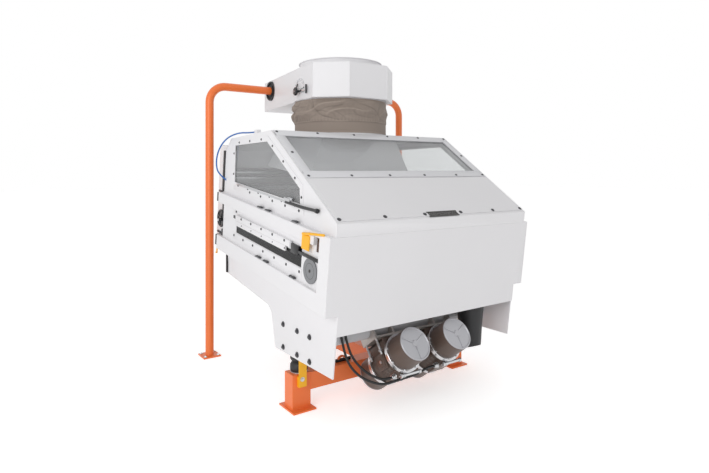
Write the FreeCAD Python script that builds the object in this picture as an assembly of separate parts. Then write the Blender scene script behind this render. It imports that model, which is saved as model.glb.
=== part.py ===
import FreeCAD, Part
import math
import os

os.makedirs("parts", exist_ok=True)
V = FreeCAD.Vector

# Frame: X to the right, Y to the back, Z up, floor at Z = 0.
# Pieces are drawn about the machine's centre plane and front feet, then
# moved by FRAME_X and FRAME_Y so that the whole stands about the origin.
FRAME_X = 183.0
FRAME_Y = 375.8

# Gap between curved faces that fit into each other, and reach of a cut past its face.
CURVED_GAP = 0.3
CUT_PAST = 10.0

# Vibrating body: one tilted frame, its rear end raised about the X axis.
BODY_TILT = 7.0
SEAM_Y = -510.0
SEAM_Z = 648.0
BODY_LENGTH = 1425.0
SIDE_HEIGHT = 406.0
FRAME_HALF = 755.0
BAND_PAST = 60.0
BAND_DEEP = 20.0
UPPER_BAND_TALL = 71.0
LOWER_BAND = 100.0
FRONT_COLUMN = 100.0
WEB_SHEET = 4.0
PLATE_IN = 75.0
PLATE_THICK = 8.0
PANEL_SHEET = 6.0
SKIRT_DROP = 110.0
BAND_LENGTH = BODY_LENGTH + BAND_PAST
UPPER_BAND = SIDE_HEIGHT - UPPER_BAND_TALL
WEB_HALF = FRAME_HALF - BAND_DEEP
PLATE_HALF = FRAME_HALF - PLATE_IN

# Slot window and hook opening in the side web, measured from its edges.
SLOT_FRONT = 300.0
SLOT_REAR = 235.0
SLOT_DROP = (230.0, 117.0)
HOOK_HOLE_WIDE = 56.0
HOOK_HOLE_DROP = (106.0, 22.0)
SLOT_Y = (SLOT_FRONT, BODY_LENGTH - SLOT_REAR)
SLOT_Z = tuple(SIDE_HEIGHT - drop for drop in SLOT_DROP)
HOOK_HOLE_Y = (FRONT_COLUMN, FRONT_COLUMN + HOOK_HOLE_WIDE)
HOOK_HOLE_Z = tuple(SIDE_HEIGHT - drop for drop in HOOK_HOLE_DROP)

# Hood over the body: how far its corners lie before its rear edge and above the side frame.
HOOD_IN = 35.0
HOOD_SHEET = 5.0
HOOD_PAST = 45.0
FLANGE_RISE = 69.0
TOP_FRONT_AT = (685.0, 482.0)
TOP_REAR_AT = (83.0, 388.0)
REAR_UPPER_RISE = 300.0
HOOD_HALF = FRAME_HALF - HOOD_IN
HOOD_REAR = BODY_LENGTH + HOOD_PAST
HOOD_FLANGE = SIDE_HEIGHT + FLANGE_RISE
HOOD_TOP_FRONT = (HOOD_REAR - TOP_FRONT_AT[0], SIDE_HEIGHT + TOP_FRONT_AT[1])
HOOD_TOP_REAR = (HOOD_REAR - TOP_REAR_AT[0], SIDE_HEIGHT + TOP_REAR_AT[1])
HOOD_REAR_UPPER = (HOOD_REAR, SIDE_HEIGHT + REAR_UPPER_RISE)
TILT = math.radians(BODY_TILT)
ROOF_Y = SEAM_Y + HOOD_TOP_REAR[0] * math.cos(TILT) - HOOD_TOP_REAR[1] * math.sin(TILT)
ROOF_Z = SEAM_Z + HOOD_TOP_REAR[0] * math.sin(TILT) + HOOD_TOP_REAR[1] * math.cos(TILT)

# Windows: corners of the side one from the hood's rear or front, the front one as shares of the slope.
WINDOW_FROM_REAR = [(163.0, 349.0), (650.0, 415.0)]
WINDOW_FROM_FRONT = [(384.0, 191.0), (367.0, 100.0)]
WINDOW_LOW_REAR = (182.0, 95.0)
WINDOW_LAP = 18.0
WINDOW_THICK = 4.0
FRONT_WINDOW_SHARE = (0.504, 0.936)
FRONT_WINDOW_IN = 60.0
VENT_X = (-100.0, 124.0)
VENT_RISE = (8.0, 42.0)
SIDE_WINDOW = [(HOOD_REAR - y, SIDE_HEIGHT + z) for y, z in WINDOW_FROM_REAR]
SIDE_WINDOW += [(y, SIDE_HEIGHT + z) for y, z in WINDOW_FROM_FRONT]
SIDE_WINDOW += [(HOOD_REAR - WINDOW_LOW_REAR[0], SIDE_HEIGHT + WINDOW_LOW_REAR[1])]
FRONT_WINDOW_HALF = HOOD_HALF - FRONT_WINDOW_IN

# Rear sill, seal and housing behind the body.
SILL_DEEP = 30.0
SILL_TALL = 40.0
SEAL_THICK = 26.0
SEAL_FACE = 30.0
HOUSING_DEPTH = 120.0
HOUSING_IN = 50.0
HOUSING_RISE = 324.0
HOUSING_SHEET = 5.0
SILL_Y = BODY_LENGTH - SILL_DEEP
SILL_Z = SIDE_HEIGHT - SILL_TALL
HOUSING_HALF = FRAME_HALF - HOUSING_IN
HOUSING_TOP = SIDE_HEIGHT + HOUSING_RISE

# Screens inside the body.
DECK_GAP = 10.0
LOWER_DECK_Z = 125.0
DECK_DEPTH = 26.0
DECK_RIM = 34.0
DECK_END = 30.0
SCREEN_THICK = 3.0
UPPER_DECK_HALF = HOOD_HALF - HOOD_SHEET - DECK_GAP

# Side plates under the body: lower outline as (y, z) above the floor.
PLATE_FOOT = [(-462.0, 316.0), (181.0, 310.0), (235.0, 514.0), (280.0, 549.0)]
PLATE_PAST = 30.0
PLATE_REAR = (SEAM_Y + BODY_LENGTH + PLATE_PAST, SEAM_Z)

# Base frame.
LEG_WIDE = 120.0
LEG_DEEP = 95.0
LEG_IN = 55.0
LEG_TOP = 210.0
FOOT_WIDE = 150.0
FOOT_LONG = 180.0
FOOT_THICK = 10.0
BEAM_SIZE = 100.0
BEAM_DROP = 104.0
BEAM_WALL = 5.0
REAR_LEG_IN = 95.0
REAR_LEG_TOP = 510.0
LEG_X = PLATE_HALF - LEG_IN
BEAM_Z = LEG_TOP - BEAM_DROP
REAR_LEG_Y = SEAM_Y + BODY_LENGTH - REAR_LEG_IN

# Rubber buffers between base and body.
BUFFER_IN = 63.0
BUFFER_RADIUS = 52.5
BUFFER_WAIST = 38.5
BUFFER_GROOVE = 8.0
BUFFER_HEIGHT = 120.0
SEAT_THICK = 10.0
SEAT_HALF = 65.0
SEAT_RIB = 110.0
BUFFER_X = PLATE_HALF - BUFFER_IN

# Yellow straps that lock the body to the front legs for transport.
STRAP_WIDE = 50.0
STRAP_THICK = 6.0
STRAP_IN = 30.0
STRAP_BELOW = 70.0
STRAP_ABOVE = 165.0
STRAP_Z = (LEG_TOP - STRAP_BELOW, LEG_TOP + STRAP_ABOVE)

# Air box, collar and sleeve on one upright axis, the box plan about it.
DUCT_FORWARD = 425.0
BOX_PLAN = [(-157.0, -346.0), (157.0, -346.0), (338.0, -176.0),
            (200.0, 830.0), (-200.0, 830.0), (-338.0, -176.0)]
BOX_RISE = 264.9
BOX_TALL = 235.0
BOX_SHEET = 4.0
SPIGOT_RADIUS = 325.0
SPIGOT_WALL = 5.0
SPIGOT_LONG = 45.0
SPIGOT_RING = 12.0
SPIGOT_ABOVE = 74.9
SPIGOT_BELOW = 105.1
BORE_LEDGE = 25.0
BORE_REACH = 500.0
COLLAR_RADIUS = 290.0
COLLAR_TALL = 40.0
COLLAR_LIP = 10.0
LIP_THICK = 5.0
SLEEVE_THICK = 4.0
SLEEVE_LAP = 43.0
SLEEVE_HEAD = 4.0
DUCT_Y = SEAM_Y + BODY_LENGTH - DUCT_FORWARD
BOX_BOTTOM = ROOF_Z + BOX_RISE
BOX_TOP = BOX_BOTTOM + BOX_TALL
SPIGOT_TOP = ROOF_Z + SPIGOT_ABOVE
SPIGOT_FOOT = ROOF_Z - SPIGOT_BELOW
ROOF_BORE = SPIGOT_RADIUS - SPIGOT_WALL - BORE_LEDGE
SLEEVE_Z = (SPIGOT_TOP - SLEEVE_LAP, BOX_BOTTOM - SLEEVE_HEAD)

# Pipe portal, taken as 60.3 mm tube, and the rubber edging where it enters the air box.
PIPE_RADIUS = 30.15
PIPE_WALL = 3.2
PORTAL_IN = 21.0
PORTAL_OUT = 345.0
PORTAL_BEHIND = 663.0
PORTAL_RISE = 150.0
PORTAL_BEND = 125.0
PORTAL_FOOT = 130.0
PORTAL_HOLE = 7.0
PORTAL_HOLE_AT = 48.0
GROMMET_RADIUS = 76.0
GROMMET_EDGE = 12.0
GROMMET_WALL = 5.0
GROMMET_LONG = 28.0
PORTAL_LEFT = -FRAME_HALF + PORTAL_IN
PORTAL_RIGHT = FRAME_HALF + PORTAL_OUT
PORTAL_Y = DUCT_Y + PORTAL_BEHIND
PORTAL_Z = BOX_BOTTOM + PORTAL_RISE

# Tapered air duct inside the hood, in body lengths and heights.
DUCT_BEFORE_REAR = 360.0
DUCT_HALF_TOP = (290.0, 246.0)
DUCT_HALF_LOW = (420.0, 315.0)
DUCT_LOW_RISE = 194.0
DUCT_CENTRE = HOOD_REAR - DUCT_BEFORE_REAR
DUCT_LOW_Z = SIDE_HEIGHT + DUCT_LOW_RISE

# Damper lever and its scale on the left side of the air box.
DAMPER_BEHIND = 55.0
DAMPER_RISE = 66.0
DAMPER_PIN = 6.0
PIN_LONG = 30.0
QUADRANT_RADIUS = 95.0
QUADRANT_WIDE = 18.0
QUADRANT_THICK = 4.0
LEVER_REACH = 155.0
LEVER_OFF = 11.0
LEVER_WIDE = 18.0
LEVER_THICK = 5.0
LEVER_BAR = 62.0
STAR_RADIUS = 29.0
STAR_THICK = 22.0
DAMPER_Y = DUCT_Y + DAMPER_BEHIND
DAMPER_Z = BOX_BOTTOM + DAMPER_RISE

# Vibrating motors: front cap centre and downward slope to the back.
MOTOR_X = 163.0
MOTOR_FRONT_Y = -510.0
MOTOR_FRONT_Z = 420.0
MOTOR_SLOPE = 37.0
CAP_RADIUS = 97.0
CAP_LENGTH = 130.0
RING_RADIUS = 112.5
RING_LENGTH = 20.0
CORE_RADIUS = 90.0
CORE_LENGTH = 175.0
MOTOR_SEAT = 116.0
MOTOR_FOOT_HALF = 85.0
TERMINAL_HALF = 60.0
TERMINAL_DEEP = 112.0
GLAND_RADIUS = 10.0
GLAND_LONG = 24.0
GLAND_AT = 60.0
GLAND_DEEP = 100.0

# Bracket that carries the motors under the cross tube.
BRACKET_PLATE = 12.0
BRACKET_HALF = 300.0
CHEEK_HALF = 75.0
CHEEK_RISE = 72.0
CHEEK_BEVEL = 20.0
TUBE_RADIUS = 57.15
TUBE_WALL = 6.0
TUBE_Y = -216.0
TUBE_Z = 452.0

# Rubber outlet sock to the right of the motors.
SOCK_CLEAR = 36.5
SOCK_Y = -385.0
SOCK_TOP_RADIUS = 98.0
SOCK_LOW_RADIUS = 64.0
SOCK_Z = (272.0, 700.0)
SOCK_WALL = 5.0
SOCK_X = MOTOR_X + RING_RADIUS + SOCK_CLEAR + SOCK_TOP_RADIUS

# Small fittings on the sides, in body lengths and in drops below the side frame's top.
WHEEL_PAST = 72.5
WHEEL_DROP = 193.0
WHEEL_RADIUS = 65.0
WHEEL_RIM = 12.0
WHEEL_OFF = 17.0
WHEEL_PIN = 8.0
WHEEL_PIN_LONG = 50.0
HUB_RADIUS = 18.0
GRIP_RADIUS = 10.0
GRIP_LONG = 44.0
DISC_Y = 196.0
DISC_DROP = 219.0
DISC_RADIUS = 67.5
DISC_THICK = 6.0
RAIL_FRONT = 413.0
RAIL_REAR = 245.0
RAIL_DROP = (178.0, 106.0)
RAIL_THICK = 18.0
ROD_RADIUS = 7.0
ROD_DROP = 143.0
ROD_FRONT = 130.0
KNOB_RADIUS = 8.0
KNOB_LONG = 26.0
HOOK_Y = (190.0, 268.0)
HOOK_DROP = 111.0
HOOK_THICK = 6.0
WHEEL_Y = BODY_LENGTH + WHEEL_PAST
WHEEL_Z = SIDE_HEIGHT - WHEEL_DROP
DISC_Z = SIDE_HEIGHT - DISC_DROP
RAIL_Y = (RAIL_FRONT, BODY_LENGTH - RAIL_REAR)
RAIL_Z = tuple(SIDE_HEIGHT - drop for drop in RAIL_DROP)
ROD_Z = SIDE_HEIGHT - ROD_DROP
HOOK_LOW = SIDE_HEIGHT - HOOK_DROP

# Cords: points of the straight runs, joined by arcs. HOSE and CABLE are diameters.
# The hose runs from the roof round the hood's rear corner and into the hood's side.
CORD_ARC = 0.45
HOSE = 10.0
HOSE_RUN = [(30.0, -342.0, 26.0), (30.0, -240.0, 26.0), (4.0, -118.0, 33.0), (-38.0, -10.0, 2.0),
            (-66.0, 68.0, -75.0), (-72.0, 102.0, -170.0), (-52.0, 104.0, -250.0), (10.0, 96.0, -293.0)]
HOSE_POINTS = [(x - HOOD_HALF, y + ROOF_Y, z + ROOF_Z) for x, y, z in HOSE_RUN]
FITTING_HALF = 14.0
FITTING_LONG = 40.0
FITTING_TALL = (40.0, 12.0)

# Each motor cable starts at the cross tube and ends in the gland, placed from the gland's face.
CABLE = 14.0
LEFT_CABLE_RUN = [(-231.0, 122.2, 248.2), (-213.0, 119.5, 171.2), (-187.0, 98.0, 104.0),
                  (-145.0, 52.0, 46.0), (-92.0, 14.0, 14.0), (-56.0, 0.0, 0.0), (0.0, 0.0, 0.0)]
RIGHT_CABLE_RUN = [(-584.0, 122.5, 246.2), (-571.0, 116.5, 166.2), (-549.0, 96.5, 86.2),
                   (-504.0, 57.5, 24.2), (-439.0, 17.5, -10.8), (-379.0, -5.5, -25.8),
                   (-304.0, -13.2, -17.4), (-179.0, -12.4, -17.4), (-109.0, -6.5, -9.8),
                   (-49.0, 0.0, 0.0), (0.0, 0.0, 0.0)]


def box(x0, x1, y0, y1, z0, z1):
    return Part.makeBox(x1 - x0, y1 - y0, z1 - z0, V(x0, y0, z0))


def prism(points, x0, x1):
    ring = [V(x0, y, z) for y, z in points]
    face = Part.Face(Part.makePolygon(ring + ring[:1]))
    return face.extrude(V(x1 - x0, 0, 0))


def plan_block(points, z0, z1):
    ring = [V(x, y, z0) for x, y in points]
    face = Part.Face(Part.makePolygon(ring + ring[:1]))
    return face.extrude(V(0, 0, z1 - z0))


def rod(radius, length, start, direction):
    return Part.makeCylinder(radius, length, V(*start), V(*direction))


def pipe(outer, inner, length, start, direction):
    return rod(outer, length, start, direction).cut(rod(inner, length, start, direction))


def joined(shapes):
    return shapes[0].fuse(shapes[1:]).removeSplitter()


def mirrored(shape):
    return shape.mirror(V(0, 0, 0), V(1, 0, 0))


def tilted(shape):
    placed = shape.copy()
    placed.rotate(V(0, 0, 0), V(1, 0, 0), BODY_TILT)
    placed.translate(V(0, SEAM_Y, SEAM_Z))
    return placed


def body_point(y, z):
    angle = math.radians(BODY_TILT)
    return (SEAM_Y + y * math.cos(angle) - z * math.sin(angle),
            SEAM_Z + y * math.sin(angle) + z * math.cos(angle))


def inset_outline(points, amount):
    """Move every edge of a convex outline inward (negative: outward)."""
    area = sum(a[0] * b[1] - b[0] * a[1] for a, b in zip(points, points[1:] + points[:1]))
    side = amount if area > 0 else -amount
    moved = []
    count = len(points)
    for index in range(count):
        before, here, after = points[index - 1], points[index], points[(index + 1) % count]
        moved.append(edge_corner(before, here, after, side))
    return moved


def edge_corner(before, here, after, side):
    ax, ay = unit(here[0] - before[0], here[1] - before[1])
    bx, by = unit(after[0] - here[0], after[1] - here[1])
    factor = side / (1 + ax * bx + ay * by)
    return (here[0] + factor * (-ay - by), here[1] + factor * (ax + bx))


def unit(dx, dy):
    length = math.hypot(dx, dy)
    return dx / length, dy / length


def leg(x):
    post = box(x - LEG_WIDE / 2, x + LEG_WIDE / 2, -LEG_DEEP / 2, LEG_DEEP / 2, FOOT_THICK, LEG_TOP)
    hollow = box(x - LEG_WIDE / 2 + BEAM_WALL, x + LEG_WIDE / 2 - BEAM_WALL,
                 -LEG_DEEP / 2 + BEAM_WALL, LEG_DEEP / 2 - BEAM_WALL, FOOT_THICK, LEG_TOP - SEAT_THICK)
    foot = box(x - FOOT_WIDE / 2, x + FOOT_WIDE / 2, -FOOT_LONG / 2, FOOT_LONG / 2, 0, FOOT_THICK)
    return post.cut(hollow).fuse(foot)


def square_beam(x0, x1, y0, y1):
    return box(x0, x1, y0, y1, BEAM_Z, BEAM_Z + BEAM_SIZE)


def base_frame():
    reach = LEG_X - LEG_WIDE / 2
    half = BEAM_SIZE / 2
    cross = square_beam(-reach, reach, -half, half)
    cross = cross.cut(box(-reach, reach, -half + BEAM_WALL, half - BEAM_WALL,
                          BEAM_Z + BEAM_WALL, BEAM_Z + BEAM_SIZE - BEAM_WALL))
    rear_face = REAR_LEG_Y - half
    centre = square_beam(-half, half, half, rear_face)
    centre = centre.cut(box(-half + BEAM_WALL, half - BEAM_WALL, half, rear_face,
                            BEAM_Z + BEAM_WALL, BEAM_Z + BEAM_SIZE - BEAM_WALL))
    post = box(-half, half, rear_face, REAR_LEG_Y + half, FOOT_THICK, REAR_LEG_TOP)
    post = post.cut(box(-half + BEAM_WALL, half - BEAM_WALL, rear_face + BEAM_WALL,
                        REAR_LEG_Y + half - BEAM_WALL, FOOT_THICK, REAR_LEG_TOP - SEAT_THICK))
    foot = box(-FOOT_WIDE, FOOT_WIDE, REAR_LEG_Y - FOOT_LONG / 2, REAR_LEG_Y + FOOT_LONG / 2, 0, FOOT_THICK)
    return joined([leg(-LEG_X), leg(LEG_X), cross, centre, post, foot])


def buffer(x, y, z):
    half = BUFFER_HEIGHT / 2
    profile = [V(0, 0, 0), V(BUFFER_RADIUS, 0, 0), V(BUFFER_RADIUS, 0, half - BUFFER_GROOVE),
               V(BUFFER_WAIST, 0, half), V(BUFFER_RADIUS, 0, half + BUFFER_GROOVE),
               V(BUFFER_RADIUS, 0, BUFFER_HEIGHT), V(0, 0, BUFFER_HEIGHT)]
    face = Part.Face(Part.makePolygon(profile + profile[:1]))
    solid = face.revolve(V(0, 0, 0), V(0, 0, 1), 360)
    solid.translate(V(x, y, z))
    return solid




def lock_strap():
    """Strap on a spacer at the front of the left leg, reaching up to the buffer seat."""
    x0 = -LEG_X - LEG_WIDE / 2 + STRAP_IN
    face = -SEAT_HALF
    strap = box(x0, x0 + STRAP_WIDE, face - STRAP_THICK, face, STRAP_Z[0], STRAP_Z[1])
    spacer = box(x0, x0 + STRAP_WIDE, face, -LEG_DEEP / 2, STRAP_Z[0], LEG_TOP - SEAT_THICK)
    return joined([strap, spacer])


def portal_route():
    left, right, top, bend = PORTAL_LEFT, PORTAL_RIGHT, PORTAL_Z, PORTAL_BEND
    slack = bend * (1 - math.sqrt(0.5))
    y = PORTAL_Y
    legs = [Part.makeLine(V(left, y, FOOT_THICK), V(left, y, top - bend)),
            Part.Arc(V(left, y, top - bend), V(left + slack, y, top - slack),
                     V(left + bend, y, top)).toShape(),
            Part.makeLine(V(left + bend, y, top), V(right - bend, y, top)),
            Part.Arc(V(right - bend, y, top), V(right - slack, y, top - slack),
                     V(right, y, top - bend)).toShape(),
            Part.makeLine(V(right, y, top - bend), V(right, y, FOOT_THICK))]
    return Part.Wire(legs)


def swept(radius, route, start, direction):
    circle = Part.Wire(Part.makeCircle(radius, V(*start), V(*direction)))
    return route.makePipeShell([circle], True, False)


def portal_frame():
    start = (PORTAL_LEFT, PORTAL_Y, FOOT_THICK)
    outer = swept(PIPE_RADIUS, portal_route(), start, (0, 0, 1))
    inner = swept(PIPE_RADIUS - PIPE_WALL, portal_route(), start, (0, 0, 1))
    return joined([outer.cut(inner), portal_foot(PORTAL_LEFT), portal_foot(PORTAL_RIGHT)])


def portal_foot(x):
    half = PORTAL_FOOT / 2
    foot = box(x - half, x + half, PORTAL_Y - half, PORTAL_Y + half, 0, FOOT_THICK)
    for dx in (-PORTAL_HOLE_AT, PORTAL_HOLE_AT):
        for dy in (-PORTAL_HOLE_AT, PORTAL_HOLE_AT):
            foot = foot.cut(rod(PORTAL_HOLE, FOOT_THICK, (x + dx, PORTAL_Y + dy, 0), (0, 0, 1)))
    return foot


def box_plan():
    return [(x, DUCT_Y + y) for x, y in BOX_PLAN]


def box_side_x(y):
    front, rear = box_plan()[2:4]
    share = (y - front[1]) / (rear[1] - front[1])
    return front[0] + share * (rear[0] - front[0])


def air_box_walls():
    low = BOX_BOTTOM + BOX_SHEET
    high = BOX_TOP - BOX_SHEET
    ring = plan_block(box_plan(), low, high)
    ring = ring.cut(plan_block(inset_outline(box_plan(), BOX_SHEET), low, high))
    wide = BOX_PLAN[2][0]
    pipe_hole = rod(GROMMET_RADIUS, 2 * wide, (-wide, PORTAL_Y, PORTAL_Z), (1, 0, 0))
    pin_hole = on_box_side(rod(DAMPER_PIN + CURVED_GAP, 2 * PIN_LONG, (-PIN_LONG, 0, 0), (1, 0, 0)))
    return ring.cut(pipe_hole).cut(pin_hole)


def air_box_floor():
    """Bottom plate with the round spigot that the sleeve is clamped on."""
    plate = plan_block(box_plan(), BOX_BOTTOM, BOX_BOTTOM + BOX_SHEET)
    ring = rod(SPIGOT_RADIUS + SPIGOT_RING, BOX_SHEET, (0, DUCT_Y, BOX_BOTTOM), (0, 0, 1))
    passage = rod(SPIGOT_RADIUS - SPIGOT_WALL, BOX_SHEET, (0, DUCT_Y, BOX_BOTTOM), (0, 0, 1))
    spigot = pipe(SPIGOT_RADIUS, SPIGOT_RADIUS - SPIGOT_WALL, SPIGOT_LONG,
                  (0, DUCT_Y, BOX_BOTTOM - SPIGOT_LONG), (0, 0, 1))
    return joined([plate.fuse(ring).cut(passage), spigot])


def air_box_top():
    plate = plan_block(box_plan(), BOX_TOP - BOX_SHEET, BOX_TOP)
    outlet = rod(COLLAR_RADIUS - SPIGOT_WALL, BOX_SHEET, (0, DUCT_Y, BOX_TOP - BOX_SHEET), (0, 0, 1))
    return plate.cut(outlet)


def air_box_collar():
    top = BOX_TOP + COLLAR_TALL
    bore = COLLAR_RADIUS - SPIGOT_WALL
    ring = pipe(COLLAR_RADIUS, bore, COLLAR_TALL, (0, DUCT_Y, BOX_TOP), (0, 0, 1))
    lip = pipe(COLLAR_RADIUS + COLLAR_LIP, bore, LIP_THICK, (0, DUCT_Y, top - LIP_THICK), (0, 0, 1))
    return joined([ring, lip])


def grommet():
    """Rubber edging of the box's pipe hole, with a thin wall and a neck that grips the pipe."""
    start = -box_side_x(PORTAL_Y) - GROMMET_LONG / 2
    middle = -box_side_x(PORTAL_Y) - GROMMET_WALL / 2
    bore = PIPE_RADIUS + CURVED_GAP
    outer = GROMMET_RADIUS - CURVED_GAP
    edging = pipe(outer, outer - GROMMET_EDGE, GROMMET_LONG, (start, PORTAL_Y, PORTAL_Z), (1, 0, 0))
    wall = pipe(outer, bore, GROMMET_WALL, (middle, PORTAL_Y, PORTAL_Z), (1, 0, 0))
    neck = pipe(bore + GROMMET_EDGE, bore, GROMMET_LONG, (start, PORTAL_Y, PORTAL_Z), (1, 0, 0))
    return joined([edging, wall, neck])


def on_box_side(shape):
    """Turn a piece drawn outward along -X onto the left side face of the air box."""
    front, rear = BOX_PLAN[2], BOX_PLAN[3]
    slope = math.degrees(math.atan2(front[0] - rear[0], rear[1] - front[1]))
    placed = shape.copy()
    placed.rotate(V(0, 0, 0), V(0, 0, 1), -slope)
    placed.translate(V(-box_side_x(DAMPER_Y), DAMPER_Y, DAMPER_Z))
    return placed


def damper_quadrant():
    """Scale arc screwed flat on the air box behind the lever."""
    ring = pipe(QUADRANT_RADIUS, QUADRANT_RADIUS - QUADRANT_WIDE, QUADRANT_THICK,
                (-QUADRANT_THICK, 0, 0), (1, 0, 0))
    reach = QUADRANT_RADIUS + QUADRANT_WIDE
    below = box(-QUADRANT_THICK, 0, -reach, reach, -reach, -LEVER_WIDE / 2)
    return on_box_side(ring.cut(below))


def damper_lever():
    outer = -LEVER_OFF - LEVER_THICK
    pin = rod(DAMPER_PIN, PIN_LONG, (outer, 0, 0), (1, 0, 0))
    arm = box(outer, -LEVER_OFF, -LEVER_REACH, LEVER_WIDE, -LEVER_WIDE / 2, LEVER_WIDE / 2)
    star = rod(STAR_RADIUS, STAR_THICK, (outer - STAR_THICK, 0, 0), (1, 0, 0))
    bar = rod(DAMPER_PIN, LEVER_BAR, (outer + LEVER_THICK / 2, -LEVER_REACH, -LEVER_BAR / 2), (0, 0, 1))
    return on_box_side(joined([pin, arm, star, bar]))


def air_sleeve():
    inner = SPIGOT_RADIUS + CURVED_GAP
    return pipe(inner + SLEEVE_THICK, inner, SLEEVE_Z[1] - SLEEVE_Z[0], (0, DUCT_Y, SLEEVE_Z[0]), (0, 0, 1))


def hood_outline():
    return [(0.0, SIDE_HEIGHT), (0.0, HOOD_FLANGE), HOOD_TOP_FRONT, HOOD_TOP_REAR,
            HOOD_REAR_UPPER, (HOOD_REAR, SIDE_HEIGHT)]


def hood_skin(first, last):
    """Sheet along the outline edges first..last, between the two hood sides."""
    outline = hood_outline()
    inner = inset_outline(outline, HOOD_SHEET)
    inner[0] = (inner[0][0], SIDE_HEIGHT)
    inner[-1] = (inner[-1][0], SIDE_HEIGHT)
    ring = outline[first:last + 1] + inner[first:last + 1][::-1]
    return prism(ring, -HOOD_HALF + HOOD_SHEET, HOOD_HALF - HOOD_SHEET)


def hood_side():
    sheet = prism(hood_outline(), -HOOD_HALF, -HOOD_HALF + HOOD_SHEET)
    return sheet.cut(prism(SIDE_WINDOW, -HOOD_HALF, -HOOD_HALF + HOOD_SHEET))


def hose_hole():
    end = V(*HOSE_POINTS[-1])
    inward = (end - V(*HOSE_POINTS[-2])).normalize()
    return Part.makeCylinder(HOSE / 2 + CURVED_GAP, 8 * HOSE, end - inward * 4 * HOSE, inward)


def side_window():
    inner = -HOOD_HALF + HOOD_SHEET
    return prism(inset_outline(SIDE_WINDOW, -WINDOW_LAP), inner, inner + WINDOW_THICK)


def slope_point(rise, depth):
    """Point on the hood's slanted front, rise along it and depth below its skin."""
    dy = HOOD_TOP_FRONT[0]
    dz = HOOD_TOP_FRONT[1] - HOOD_FLANGE
    length = math.hypot(dy, dz)
    return (rise * dy / length + depth * dz / length,
            HOOD_FLANGE + rise * dz / length - depth * dy / length)


def slope_block(rise, depth, x):
    """Block on the slanted front from (low, high) rise, depth and x pairs."""
    corners = [slope_point(rise[0], depth[0]), slope_point(rise[1], depth[0]),
               slope_point(rise[1], depth[1]), slope_point(rise[0], depth[1])]
    return prism(corners, x[0], x[1])


def front_window_rise():
    length = math.hypot(HOOD_TOP_FRONT[0], HOOD_TOP_FRONT[1] - HOOD_FLANGE)
    return tuple(share * length for share in FRONT_WINDOW_SHARE)


def hood_front():
    skin = hood_skin(0, 2)
    through = (-CUT_PAST, HOOD_SHEET + CUT_PAST)
    skin = skin.cut(slope_block(front_window_rise(), through, (-FRONT_WINDOW_HALF, FRONT_WINDOW_HALF)))
    return skin.cut(slope_block(VENT_RISE, through, VENT_X))


def front_window():
    low, high = front_window_rise()
    return slope_block((low - WINDOW_LAP, high + WINDOW_LAP), (HOOD_SHEET, HOOD_SHEET + WINDOW_THICK),
                       (-FRONT_WINDOW_HALF - WINDOW_LAP, FRONT_WINDOW_HALF + WINDOW_LAP))


def duct_bore():
    return rod(ROOF_BORE, BORE_REACH, (0, DUCT_Y, SPIGOT_TOP - BORE_REACH / 2), (0, 0, 1))


def hood_roof():
    return tilted(hood_skin(2, 3)).cut(duct_bore())


def hood_rear():
    return tilted(hood_skin(3, 5)).cut(duct_bore())


def roof_spigot():
    """Upright ring for the sleeve, cut to sit on the roof and its rear slope."""
    ring = pipe(SPIGOT_RADIUS, SPIGOT_RADIUS - SPIGOT_WALL, SPIGOT_TOP - SPIGOT_FOOT,
                (0, DUCT_Y, SPIGOT_FOOT), (0, 0, 1))
    return ring.cut(tilted(prism(hood_outline(), -HOOD_HALF, HOOD_HALF)))


def inner_air_duct():
    """Four-sided tapered duct hung under the roof, open above and below."""
    walls = taper(0).cut(taper(HOOD_SHEET))
    return walls.common(prism(inset_outline(hood_outline(), HOOD_SHEET), -HOOD_HALF, HOOD_HALF))


def taper(inward):
    upper = rectangle(DUCT_HALF_TOP[0] - inward, DUCT_HALF_TOP[1] - inward, HOOD_TOP_FRONT[1])
    lower = rectangle(DUCT_HALF_LOW[0] - inward, DUCT_HALF_LOW[1] - inward, DUCT_LOW_Z)
    return Part.makeLoft([lower, upper], True, True)


def rectangle(half_x, half_y, z):
    ring = [V(-half_x, DUCT_CENTRE - half_y, z), V(half_x, DUCT_CENTRE - half_y, z),
            V(half_x, DUCT_CENTRE + half_y, z), V(-half_x, DUCT_CENTRE + half_y, z)]
    return Part.makePolygon(ring + ring[:1])


def side_frame():
    inner = -WEB_HALF + WEB_SHEET
    rim = box(-FRAME_HALF, inner, PANEL_SHEET, BAND_LENGTH, 0, SIDE_HEIGHT)
    recess = box(-FRAME_HALF, -WEB_HALF, FRONT_COLUMN, BODY_LENGTH, LOWER_BAND, UPPER_BAND)
    notch = box(-FRAME_HALF, inner, BODY_LENGTH, BAND_LENGTH, LOWER_BAND, UPPER_BAND)
    slot = box(-FRAME_HALF, inner, SLOT_Y[0], SLOT_Y[1], SLOT_Z[0], SLOT_Z[1])
    hook_hole = box(-FRAME_HALF, inner, HOOK_HOLE_Y[0], HOOK_HOLE_Y[1], HOOK_HOLE_Z[0], HOOK_HOLE_Z[1])
    floor = box(inner, -PLATE_HALF + PLATE_THICK, PANEL_SHEET, BODY_LENGTH, 0, PANEL_SHEET)
    ledge = box(inner, -HOOD_HALF + 40, PANEL_SHEET, BODY_LENGTH, SIDE_HEIGHT - PANEL_SHEET, SIDE_HEIGHT)
    return joined([rim.cut(recess).cut(notch).cut(slot).cut(hook_hole), floor, ledge])


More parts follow.
